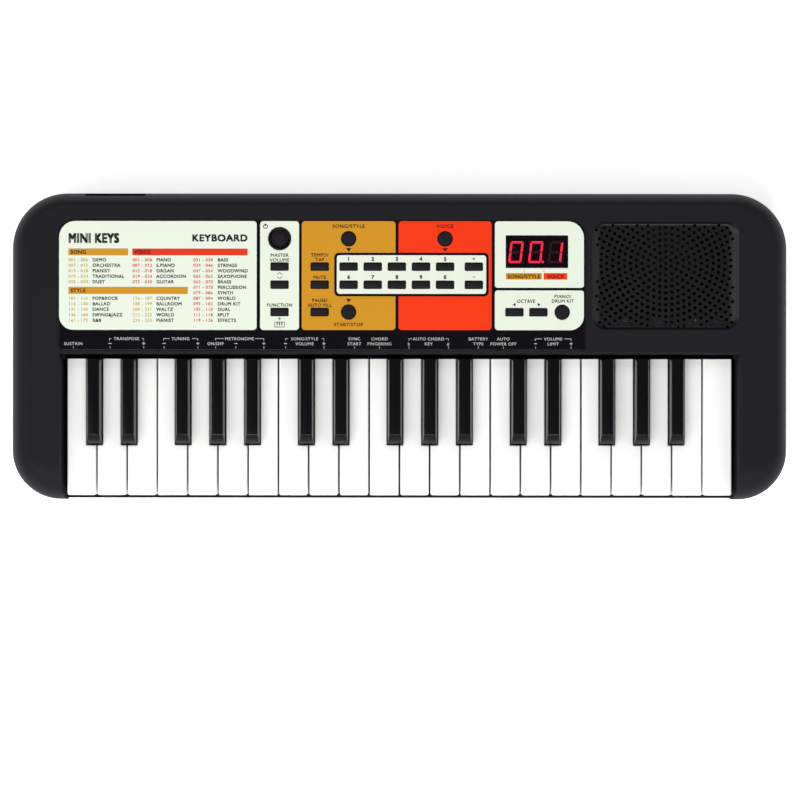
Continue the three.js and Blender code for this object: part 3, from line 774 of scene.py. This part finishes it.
# Each field's left, right, front and rear edge, its corner radii, and its ink.
FIELDS = {
    "list_field": ((-220.2, -92.4, FIELD_FRONT, FIELD_REAR), (9.2, 2.2, 2.2, 10.4), INK_WHITE),
    "master_field": ((-90.2, -65, FIELD_FRONT, FIELD_REAR), (2.2,) * 4, INK_WHITE),
    "song_field": ((-63.3, -2.6, FIELD_FRONT, FIELD_REAR), (2.2,) * 4, INK_YELLOW),
    "voice_field": ((-0.7, 59.6, FIELD_FRONT, FIELD_REAR), (2.2,) * 4, INK_ORANGE),
    "display_field": ((61.6, 119.25, 38.4, FIELD_REAR), (1.8, 1.8, 10.6, 2.2), INK_WHITE),
    "octave_field": ((61.6, 119.25, FIELD_FRONT, 36.7), (2.2, 9, 1.8, 1.8), INK_WHITE),
}
KEYPAD_FIELD = (-40.6, 56.05, 34.4, 59.4)
KEYPAD_BORDER = 1.6  # width of the black ring about it


def within(hole, box):
    """Whether a hole's outline starts inside a box."""
    x, y = hole[0]
    return box[0] < x < box[1] and box[2] < y < box[3]


def build_fields():
    """The printed fields of the panel, with a narrow black ring left about each button."""
    holes = [*button_holes(0.15), display_outline(0.25)]
    kx0, kx1, ky0, ky1 = KEYPAD_FIELD
    wide = KEYPAD_BORDER
    around = rounded_outline(kx0 - wide, kx1 + wide, ky0 - wide, ky1 + wide, (3,) * 4, 8)
    power = circle_outline(*centre("power_button"), POWER_COLLAR)
    for name, (box, radii, ink) in FIELDS.items():
        outline = rounded_outline(*box, radii)
        inside = [h for h in holes if within(h, box) and not within(h, KEYPAD_FIELD)]
        if name == "master_field":
            inside = [h for h in inside if math.dist(h[0], centre("power_button")) > POWER_COLLAR] + [power]
        field = flat_shape(name, outline, inside, TOP, PRINT)
        if name in ("song_field", "voice_field"):
            carve(field, [prism("border", around, TOP - 1, TOP + 1)])
        finish_print(field, ink)
    outline = rounded_outline(kx0, kx1, ky0, ky1, (1.9,) * 4, 6)
    inside = [h for h in holes if within(h, KEYPAD_FIELD)]
    finish_print(flat_shape("keypad_field", outline, inside, TOP, PRINT), INK_WHITE)


# ---- lettering
CAP_HEIGHT_SHARE = 0.729  # height of a capital of the built-in font, as a share of its size


def text_mesh(text, x, y, height, align, squeeze):
    """A line of lettering. (x, y) is the middle, left or right end, halfway up the capitals."""
    curve = bpy.data.curves.new("text", "FONT")
    curve.body = text
    curve.size = height / CAP_HEIGHT_SHARE * MM
    curve.align_x = align
    curve.extrude = 0.02 * MM
    curve.resolution_u = 3
    curve.space_character = 1.1
    mesh = mesh_of(curve)
    mesh.transform(Matrix.Diagonal((squeeze, 1, 1, 1)))
    mesh.transform(Matrix.Translation((x * MM, (y - height / 2) * MM, (SHEET_TOP + 0.02) * MM)))
    return mesh


def print_labels(name, labels, material):
    """Joins lines of lettering in one ink into one piece. Copies laid a little apart make it bold."""
    build = bmesh.new()
    for text, x, y, height, align, weight, squeeze, copies in labels:
        mesh = text_mesh(text, x, y, height, align, squeeze)
        reach = weight * height / 2
        shifts = ((-reach, -reach), (reach, reach), (-reach, reach), (reach, -reach))
        for i, (dx, dy) in enumerate(shifts[:copies]):
            copy = mesh.copy()
            copy.transform(Matrix.Translation((dx * MM, dy * MM, 0.002 * i * MM)))
            build.from_mesh(copy)
            bpy.data.meshes.remove(copy)
        bpy.data.meshes.remove(mesh)
    mesh = bpy.data.meshes.new(name)
    build.to_mesh(mesh)
    build.free()
    finish_print(make_object(name, mesh), material)


def line(text, x, y, height, align="CENTER", weight=0.07, squeeze=1.0, copies=2):
    """A line of lettering for print_labels. weight and squeeze are shares of its height and width."""
    return (text, x, y, height, align, weight, squeeze, copies)


SONGS = ("DEMO", "ORCHESTRA", "PIANIST", "TRADITIONAL", "DUET")
VOICES = ("PIANO", "E.PIANO", "ORGAN", "ACCORDION", "GUITAR")
MORE_VOICES = ("BASS", "STRINGS", "WOODWIND", "SAXOPHONE", "BRASS", "PERCUSSION", "SYNTH", "WORLD",
               "DRUM KIT", "DUAL", "SPLIT", "EFFECTS")
STYLES = ("POP&ROCK", "BALLAD", "DANCE", "SWING&JAZZ", "R&B")
MORE_STYLES = ("COUNTRY", "BALLROOM", "WALTZ", "WORLD", "PIANIST")
LIST_TOP = 56.35  # middle of the first row
STYLE_TOP = 31.45
ROW_STEP = 3.553
COLUMNS = {"song": (-214.2, -198.6), "voice": (-172.7, -157.3), "more": (-133.4, -117.6)}  # numbers, names


def numbered(words, column, top, first, step):
    """The two columns of a list: ranges of numbers, and what they hold."""
    numbers, names = [], []
    for i, word in enumerate(words):
        y = top - ROW_STEP * i
        start = first + step * i
        span = f"{start:03d} - {start + step - 1:03d}"
        numbers.append(line(span, COLUMNS[column][0], y, 2.05, "LEFT", squeeze=1.05))
        names.append(line(word, COLUMNS[column][1], y, 2.15, "LEFT", 0.08, copies=4))
    return numbers, names


def build_lists():
    yellow, red, black = [], [], []
    for words, column, top, first, step, inks in (
        (SONGS, "song", LIST_TOP, 1, 6, yellow),
        (VOICES, "voice", LIST_TOP, 1, 6, red),
        (MORE_VOICES, "more", LIST_TOP, 31, 8, red),
        (STYLES, "song", STYLE_TOP, 101, 15, yellow),
        (MORE_STYLES, "voice", STYLE_TOP, 176, 12, yellow),
    ):
        numbers, names = numbered(words, column, top, first, step)
        inks += numbers
        black += names
    print_labels("list_numbers_yellow", yellow, INK_OCHRE)
    print_labels("list_numbers_red", red, INK_RED)
    black += [
        line("MINI KEYS", -214.2, 70.5, 6.0, "LEFT", 0.13, 0.8, 4),
        line("KEYBOARD", -98.3, 70.6, 4.4, "RIGHT", 0.11, 1.08, 4),
    ]
    print_labels("list_names", black, INK_BLACK)


BAR = 0.02  # thickness of a bar's ink
BARS = {
    "song_bar": ((-214.2, -175.5, 59.2, 63.6), INK_YELLOW),
    "voice_bar": ((-172.9, -98.3, 59.2, 63.6), INK_RED),
    "style_bar": ((-214.2, -136.9, 34.2, 38.8), INK_YELLOW),
    "display_song_tag": ((68.8, 91.9, 43.75, 47.9), INK_YELLOW),
    "display_voice_tag": ((93.2, 108.4, 43.75, 47.9), INK_ORANGE),
    "display_song_leader": ((80.4, 80.75, 48.0, 50.2), INK_YELLOW),
    "display_voice_leader": ((93.2, 93.55, 48.0, 50.2), INK_ORANGE),
}


def build_bars():
    for name, (box, ink) in BARS.items():
        finish_print(flat_shape(name, rounded_outline(*box, (0.2,) * 4, 2), [], SHEET_TOP, BAR), ink)


KEYPAD_LABEL = 5.05  # distance from a cap's middle to its label's


def build_panel_labels():
    power_x = centre("power_button")[0]
    tempo_x = centre("tempo_button")[0]
    song_x, song_y = centre("song_style_button")
    voice_x, voice_y = centre("voice_button")
    start_y = centre("start_stop_button")[1]
    down_x, octave_y = centre("octave_down_button")
    up_x = centre("octave_up_button")[0]
    piano_x = centre("piano_button")[0]
    above = 8.2  # from a round button's middle to its label
    black = [
        line("SONG", -212.8, 61.4, 2.5, "LEFT", 0.08, copies=4),
        line("VOICE", -171.6, 61.4, 2.5, "LEFT", 0.08, copies=4),
        line("STYLE", -212.8, 36.5, 2.5, "LEFT", 0.08, copies=4),
        line("SONG/STYLE", 80.4, 45.8, 2.5, weight=0.08, copies=4),
        line("VOICE", 100.8, 45.8, 2.5, weight=0.08, copies=4),
        line("MASTER", power_x, 59.4, 2.2),
        line("VOLUME", power_x, 56.3, 2.2),
        line("FUNCTION", power_x, 27.2, 2.2),
        line("SONG/STYLE", song_x, song_y + above, 2.35, squeeze=1.06),
        line("VOICE", voice_x, voice_y + above, 2.35, squeeze=1.1),
        line("TEMPO/", tempo_x, 59.6, 2.2),
        line("TAP", tempo_x, 56.6, 2.2),
        line("MUTE", tempo_x, 45.1, 2.2),
        line("PAUSE/", tempo_x, 30.2, 2.2),
        line("AUTO FILL", tempo_x, 27.1, 2.2),
        line("START/STOP", song_x, start_y - above + 0.2, 2.25),
        line("OCTAVE", (down_x + up_x) / 2 - 0.25, octave_y + 7.2, 2.3, squeeze=0.9),
        line("PIANO/", piano_x + 0.4, octave_y + 10.3, 2.2, squeeze=1.04),
        line("DRUM KIT", piano_x + 0.3, octave_y + 7.3, 2.2, squeeze=0.95),
    ]
    for i, (x, y) in enumerate(KEYPAD):
        row, column = divmod(i, 6)
        if column < 5:
            digit = str((row * 5 + column + 1) % 10)
            black.append(line(digit, x, y + KEYPAD_LABEL, 2.45, weight=0.12, copies=4))
    print_labels("panel_labels", black, INK_BLACK)


# Names in the strip above the keys: text, x, the row it is in, and half the width of its bracket.
STRIP = (
    ("SUSTAIN", -210.9, 1, 0),
    ("TRANSPOSE", -176.5, 0, 11),
    ("TUNING", -141.5, 0, 11),
    ("METRONOME", -103.4, 0, 15.6),
    ("SONG/STYLE", -61.3, 0, 12.4),
    ("VOLUME", -61.3, 1, 0),
    ("SYNC", -29.1, 0, 0),
    ("START", -29.1, 1, 0),
    ("CHORD", -12.9, 0, 0),
    ("FINGERING", -12.9, 1, 0),
    ("AUTO CHORD", 18.9, 0, 12.8),
    ("KEY", 18.9, 1, 0),
    ("BATTERY", 51, 0, 0),
    ("TYPE", 51, 1, 0),
    ("AUTO", 67.2, 0, 0),
    ("POWER OFF", 67.2, 1, 0),
    ("VOLUME", 99.4, 0, 11.6),
    ("LIMIT", 99.4, 1, 0),
)
STRIP_ROWS = (5.4, 2.2)
STRIP_WORDS = (("ON/OFF", -118.9), ("b", 6.1), ("#", 31.5))
# Where the minus and the plus of each pair of keys stand.
SIGN_PAIRS = ((-187.2, -165.4), (-152.2, -130.4), (-105.8, -87.7), (-73.7, -48.9), (88, 111))
PLAIN_TICKS = (-210.9, -118.9, -29.1, -12.9, 6.1, 31.7, 51, 67.2)


def sign(mark, x, y):
    """The outlines of the bars of a plus or a minus."""
    half, thin = 0.95, 0.21  # half the length and the width of a bar
    bars = [rectangle(x - half, x + half, y - thin, y + thin)]
    if mark == "+":
        bars.append(rectangle(x - thin, x + thin, y - half, y + half))
    return bars


def build_strip():
    """The pale lettering above the keys, with brackets and ticks."""
    labels = [line(text, x, STRIP_ROWS[row], 2.0, squeeze=1.04, copies=1) for text, x, row, _ in STRIP]
    labels += [line(text, x, STRIP_ROWS[1], 2.0, copies=1) for text, x in STRIP_WORDS]
    print_labels("strip_labels", labels, INK_PALE)
    marks = []
    thin = 0.14
    letter, clear = 0.92, 1.7  # half the width of a letter, and the space beside the word
    for text, x, row, half in STRIP:
        if not half:
            continue
        gap = letter * len(text) + clear
        for side in (-1, 1):
            ends = sorted((x + side * gap, x + side * half))
            if ends[1] - ends[0] > 0.5 and half > gap:
                marks.append((ends[0], ends[1], STRIP_ROWS[0] - thin, STRIP_ROWS[0] + thin))
            edge = x + side * half
            marks.append((edge - thin, edge + thin, STRIP_ROWS[0] - 1.2, STRIP_ROWS[0] + thin))
    ticks = [*PLAIN_TICKS, *(x for pair in SIGN_PAIRS for x in pair)]
    marks += [(x - thin, x + thin, -0.9, 0.3) for x in ticks]
    outlines = [rectangle(*m) for m in marks]
    for minus, plus in SIGN_PAIRS:
        outlines += sign("-", minus, STRIP_ROWS[1]) + sign("+", plus, STRIP_ROWS[1])
    plates = [flat_shape("mark", outline, [], TOP, PRINT) for outline in outlines]
    finish_print(joined(plates), INK_PALE).name = "strip_marks"


def arrow(x, y, width, length, turn):
    """An arrowhead that points along turn, in quarter turns from +X."""
    corners = [(length / 2, 0), (-length / 2, width / 2), (-length / 2, -width / 2)]
    for _ in range(turn):
        corners = [(-b, a) for a, b in corners]
    return [(x + a, y + b) for a, b in corners]


def chevron(x, y, width, height, stroke):
    """An open arrowhead. It points up where height is positive."""
    low, high = y - height / 2, y + height / 2
    thick = stroke if height > 0 else -stroke
    half = width / 2
    return [(x - half, low), (x, high), (x + half, low), (x + half, low - thick), (x, high - thick),
            (x - half, low - thick)]


SYMBOL, SYMBOL_TOP = 0.03, 0.035  # thickness of a symbol's ink, and where one part lies over another


def build_symbols():
    """The arrowheads, the signs, the power symbol and the keyboard symbol of the panel."""
    power_x, power_y = centre("power_button")
    song_x, song_y = centre("song_style_button")
    voice_x = centre("voice_button")[0]
    start_y = centre("start_stop_button")[1]
    down_x, octave_y = centre("octave_down_button")
    up_x = centre("octave_up_button")[0]
    down, left = 3, 2
    shapes = [
        arrow(song_x, song_y - 7.2, 3.4, 2.4, down),
        arrow(voice_x, song_y - 7.2, 3.4, 2.4, down),
        arrow(song_x, start_y + 7.4, 3.4, 2.4, down),
        arrow(down_x - 0.2, octave_y + 4.9, 2.3, 1.8, left),
        arrow(up_x + 0.5, octave_y + 4.9, 2.3, 1.8, 0),
        chevron(power_x, 44.5, 3.2, -1.2, 0.45),
        chevron(power_x, 47.7, 3.2, 1.2, 0.45),
        *sign("+", power_x, 18.3),
    ]
    for mark, (x, y) in zip("+-", (KEYPAD[5], KEYPAD[11])):
        shapes += sign(mark, x, y + KEYPAD_LABEL)
    plates = [flat_shape("symbol", s, [], SHEET_TOP, SYMBOL) for s in shapes]
    symbol_x, symbol_y = power_x - 9.1, power_y + 7.9
    outer, inner = (circle_outline(symbol_x, symbol_y, radius, 24) for radius in (1.55, 1.05))
    plates.append(flat_shape("symbol", outer, [inner], SHEET_TOP, SYMBOL))
    stem = rectangle(symbol_x - 0.28, symbol_x + 0.28, symbol_y + 0.1, symbol_y + 2.0)
    plates.append(flat_shape("symbol", stem, [], SHEET_TOP, SYMBOL_TOP))
    plates += keyboard_icon(power_x, 14.5)
    finish_print(joined(plates), INK_BLACK).name = "panel_symbols"


def keyboard_icon(x, y):
    """A small outline of a keyboard with three dark keys."""
    half, tall, stroke = 3.3, 1.8, 0.35
    clear_half, clear_tall = half - stroke, tall - stroke
    outer = rounded_box(x, y, half, tall, 0.3, 3)
    inner = rectangle(x - clear_half, x + clear_half, y - clear_tall, y + clear_tall)
    plates = [flat_shape("symbol", outer, [inner], SHEET_TOP, SYMBOL)]
    for key_x in (x - 1.5, x, x + 1.5):
        dark = rectangle(key_x - 0.35, key_x + 0.35, y - 0.2, y + tall - 0.1)
        gap = rectangle(key_x - 0.1, key_x + 0.1, y - tall + 0.1, y)
        plates += [flat_shape("symbol", shape, [], SHEET_TOP, SYMBOL_TOP) for shape in (dark, gap)]
    return plates


# ---- the display
SEGMENTS = {"0": "abcdef", "1": "bc"}  # the bars that are lit, named as on any seven-segment digit
DIGIT = {"width": 8.5, "height": 14.1, "stroke": 1.35, "slant": 0.12, "pitch": 12.8, "gap": 0.15}


def segment_outline(kind, x, y):
    """One bar of a seven-segment digit whose middle is at (x, y), slanted, with mitred ends."""
    w, h = DIGIT["width"] / 2, DIGIT["height"] / 2
    s, gap = DIGIT["stroke"], DIGIT["gap"]
    snub = s * 0.3 + gap
    inner = w - s - gap
    if kind == "g":
        tip = w - s / 2 - gap
        points = [(-tip, 0), (-inner, s / 2), (inner, s / 2), (tip, 0), (inner, -s / 2), (-inner, -s / 2)]
    elif kind in "ad":
        points = [(-w + snub, h), (w - snub, h), (inner, h - s), (-inner, h - s)]
    else:
        points = [(w, h - snub), (w, snub), (w - s / 2, gap), (w - s, snub), (w - s, h - s - gap)]
    across = -1 if kind in "ef" else 1
    upward = -1 if kind in "dce" else 1
    return [(x + across * px + DIGIT["slant"] * upward * py, y + upward * py) for px, py in points]


def build_display():
    """The dark window with three digits and their points, and the black rim about it."""
    outline = display_outline()
    window = rounded_prism("display_lens", outline, DISPLAY_LOW[2], TOP - 0.1, 0.25)
    finish(window, "case", LENS, ["display_window"])
    x0, y0 = (DISPLAY_LOW[0] + DISPLAY_HIGH[0]) / 2, (DISPLAY_LOW[1] + DISPLAY_HIGH[1]) / 2
    lit, unlit = [], []
    level, thickness, dot_radius = TOP - 0.1, 0.02, 0.75
    for place, digit in enumerate("001"):
        x = x0 + (place - 1) * DIGIT["pitch"] - 0.75
        for kind in "abcdefg":
            shape = flat_shape("segment", segment_outline(kind, x, y0 - 0.3), [], level, thickness)
            (lit if kind in SEGMENTS[digit] else unlit).append(shape)
        dot = circle_outline(x + DIGIT["width"] / 2 + 0.3, y0 - DIGIT["height"] / 2 + 0.45, dot_radius, 20)
        (lit if place == 1 else unlit).append(flat_shape("segment", dot, [], level, thickness))
    finish(joined(lit), "case", LED_ON).name = "segments_lit"
    finish(joined(unlit), "case", LED_OFF).name = "segments_unlit"
    rim_outer, rim_inner, deep = display_outline(0.2), display_outline(0.02), 0.3
    finish_print(flat_shape("display_rim", rim_outer, [rim_inner], TOP - deep, deep + PRINT), FASCIA)


# ---- the buttons
CAP = (5.45, 2.25)  # half the width and depth of a rectangular cap


def flat_cap(name, x, y, bottom):
    """A rectangular rubber cap with a soft rim, standing a little proud of the panel."""
    return rounded_prism(name, rounded_box(x, y, *CAP, 0.8, 5), bottom, TOP + 1, 0.8, steps=5)


def build_cap(name):
    """A rectangular button: its cap, and the flange that holds it under the panel."""
    x, y = centre(name)
    bottom = TOP - 2.4
    cap = flat_cap(f"{name}_cap", x, y, bottom)
    flange = rounded_box(x, y, CAP[0] + 1, CAP[1] + 1, 1.2, 4)
    skirt = rounded_prism("skirt", flange, bottom, bottom + 0.8, 0.1)
    finish(joined([cap, skirt]), name, RUBBER, [name])


def build_round_cap(name):
    """A round button with a soft rim, and the flange that holds it under the panel."""
    x, y = centre(name)
    radius = 4.55
    flange = [(0, -3.4), (1.6, -3.4), (1.6, -2.4), (5.8, -2.4), (5.8, -1.6), (radius, -1.6)]
    profile = [*flange, (radius, 0.45)]
    for i in range(1, 6):
        angle = math.pi / 2 * i / 5
        profile.append((radius - 0.55 * (1 - math.cos(angle)), 0.45 + 0.5 * math.sin(angle)))
    profile += [(radius * 0.5, 1.0), (0, 1.0)]
    cap = revolved(f"{name}_cap", profile, x, y, TOP)
    finish(cap, name, RUBBER, [name])


def build_power_button():
    """A broad cap with a groove about its raised middle."""
    x, y = centre("power_button")
    profile = [(0, -3.4), (1.6, -3.4), (1.6, -2.4), (6.6, -2.4), (6.6, -1.6), (5.5, -1.6), (5.5, -0.7),
               (5.2, -0.4), (4.5, -0.6), (4.1, -0.5), (3.9, 0.2), (3.5, 0.55), (2, 0.6), (0, 0.6)]
    cap = revolved("power_button_cap", profile, x, y, TOP)
    finish(cap, "power_button", RUBBER, ["power_button"])


def build_buttons():
    for name in FLAT_BUTTONS:
        build_cap(name)
    for name in ROUND_BUTTONS:
        build_round_cap(name)
    build_power_button()
    low, high = cad_box("number_keypad")
    outline = rounded_outline(low[0], high[0], low[1], high[1], (1.5,) * 4)
    sheet = rounded_prism("keypad_sheet", outline, low[2], low[2] + 1, 0.2)
    finish(sheet, "number_keypad", RUBBER, ["number_keypad"])
    for i, (x, y) in enumerate(KEYPAD, 1):
        cap = flat_cap(f"keypad_cap_{i:02d}", x, y, low[2] + 0.5)
        finish(cap, "number_keypad", RUBBER)


# ---- the keys
def build_key(node, material, weight, width):
    key = weighted_bevel(cad_copy(f"{node}_shell", node), weight, width)
    finish(key, node, material, [node], smooth=40)


def build_keys():
    """Keys with soft edges at the top, softest at the front corners of the white ones."""
    for node in WHITE_KEYS:
        low, high = cad_box(node)

        def weight(middle, along, top=high[2], front=low[1]):
            if abs(middle.z - top) < 0.05:
                return 1.0
            return 1.6 if abs(middle.y - front) < 0.05 and abs(along.z) > 0.9 else 0.2

        build_key(node, WHITE_KEY, weight, 0.9)
    for node in BLACK_KEYS:

        def weight(middle, along, top=cad_box(node)[1][2]):
            return 1.0 if middle.z > top - 10 and abs(along.z) < 0.99 else 0.25

        build_key(node, BLACK_KEY, weight, 0.5)


# ---- inside
def build_speaker():
    low, high = cad_box("speaker")
    x, y = centre("speaker")
    rim = (high[0] - low[0]) / 2
    cone = [(0, -26), (16, -26), (16, -17), (13.5, -16), (13.5, -14), (rim - 5, -5), (rim - 1, -4.2),
            (rim, -3.5), (rim, -0.4), (rim - 0.4, 0), (rim - 3, 0), (rim - 3.2, -0.5)]
    for i in range(7):
        angle = math.pi * i / 6
        cone.append((rim - 5.2 + 1.8 * math.cos(angle), -1.2 + 1.0 * math.sin(angle)))
    cone += [(rim - 7.4, -1.8), (10, -9), (9, -9.4)]
    for i in range(1, 7):
        angle = math.pi / 2 * i / 6
        cone.append((9 * math.cos(angle), -9.4 + 3.2 * math.sin(angle)))
    cone[-1] = (0, -6.2)
    driver = revolved("speaker_driver_unit", cone, x, y, high[2], 64)
    finish(driver, "case", SPEAKER_CONE, ["speaker"], smooth=45)


def build_sockets():
    """The metal fronts of the two sockets on the main board."""
    phones, usb, z = SOCKETS["phones"], SOCKETS["usb"], SOCKETS["z"]
    profile = [(1.8, 0), (3.1, 0), (3.1, 6.6), (2.9, 6.9), (1.9, 6.9), (1.8, 6.5)]
    ring = ring_solid("phones_ring", profile, 0, 0, 32)
    turn = Matrix.Rotation(math.radians(-90), 4, "X")
    ring.data.transform(Matrix.Translation((phones * MM, 89.6 * MM, z * MM)) @ turn)
    finish(ring, "case", STEEL)
    outer = rounded_outline(usb - 4, usb + 4, z - 1.5, z + 1.5, (0.6,) * 4, 3)
    shell = along_y("usb_shell", outer, 88, 96.4)
    carve(shell, [along_y("mouth", inset(outer, 0.3), 91, 99)])
    finish(shell, "case", STEEL)
    tongue = block("usb_tongue", usb - 2, usb + 2, 90.5, 95.8, z - 0.35, z + 0.35)
    bevelled(tongue, 0.1)
    finish(tongue, "case", INK_BLACK)


def build_inside():
    build_speaker()
    build_sockets()
    for node, material, slot in (
        ("main_board", BOARD, "circuit_board"),
        ("key_frame", FRAME_PLASTIC, "frame_plastic"),
        ("key_contact_board", BOARD, "circuit_board"),
    ):
        piece = cad_copy(f"{node}_piece", node)
        if node == "main_board":
            usb, z = SOCKETS["usb"], SOCKETS["z"]
            carve(piece, [block("usb_room", usb - 4.3, usb + 4.3, 87.7, 100, z - 1.8, z + 1.8)])
        bevelled(piece, 0.2, 1)
        finish(piece, "case", material, [node])


# ---- stage, light and camera
CAMERA_HEIGHT = 2000  # above the table
VIEW_CENTRE = (0.499375, 0.4338125)  # where the keyboard's middle lies, as shares from the top left
FOCAL_SHARE = 3.763  # focal length over the width of the frame
ROLL = 0.05  # degrees


def build_camera():
    """A camera straight over the middle of the keyboard."""
    data = bpy.data.cameras.new("camera")
    data.sensor_width = 36
    data.lens = FOCAL_SHARE * data.sensor_width
    data.shift_x = 0.5 - VIEW_CENTRE[0]
    data.shift_y = VIEW_CENTRE[1] - 0.5
    data.clip_start = 0.1
    data.clip_end = 50
    camera = make_object("camera", data)
    camera.location = (0, 0, CAMERA_HEIGHT * MM)
    camera.rotation_euler = (0, 0, math.radians(ROLL))
    bpy.context.scene.camera = camera


def area_light(name, place, size, power):
    """A softbox that faces the keyboard. Its place and size are in metres, its power in watts."""
    data = bpy.data.lights.new(name, "AREA")
    data.shape = "RECTANGLE"
    data.size, data.size_y = size
    data.energy = power
    light = make_object(name, data)
    light.location = place
    light.rotation_euler = (-Vector(place)).to_track_quat("-Z", "Y").to_euler()


def build_world():
    """A studio with pale walls and a dark ceiling, so that flat gloss shows black."""
    world = bpy.data.worlds.new("studio")
    world.use_nodes = True
    tree = world.node_tree
    place = add_node(tree, "TexCoord")
    split = add_node(tree, "SeparateXYZ")
    ramp = add_node(tree, "MapRange", From_Min=0.45, From_Max=0.9, To_Min=0.3, To_Max=0.06)
    ramp.interpolation_type = "SMOOTHSTEP"
    background = tree.nodes["Background"]
    background.inputs["Color"].default_value = (1, 1, 1, 1)
    link_nodes(tree, (
        (place, "Generated", split, "Vector"),
        (split, "Z", ramp, "Value"),
        (ramp, "Result", background, "Strength"),
    ))
    bpy.context.scene.world = world


def build_stage():
    """A plain pale floor, the world, and soft lights."""
    half = 8 / MM
    corners = [(x, y, 0) for x, y in rectangle(-half, half, -half, half)]
    floor = mesh_object("floor", corners, [(0, 1, 2, 3)])
    floor.data.materials.append(FLOOR)
    build_world()
    area_light("key_light", (-0.1, -1.6, 1.9), (1.8, 1.0), 46)
    area_light("fill_light", (-1.5, -0.5, 1.8), (1.4, 1.2), 20)
    area_light("rear_light", (0.1, 1.6, 1.7), (2.4, 0.8), 12)
    area_light("side_light", (1.9, 0.2, 1.4), (1.2, 0.6), 6)
    area_light("corner_light", (1.3, -1.7, 0.45), (0.6, 0.4), 1.5)
    bpy.context.scene.view_settings.view_transform = "Standard"


# ---- everything
build_camera()
build_top_case()
build_gap_shade()
build_grille()
build_bottom_case()
build_screws()
build_feet()
build_battery_door()
build_battery_contacts()
build_panel()
build_fields()
build_bars()
build_lists()
build_panel_labels()
build_strip()
build_symbols()
build_display()
build_buttons()
build_keys()
build_inside()
build_stage()
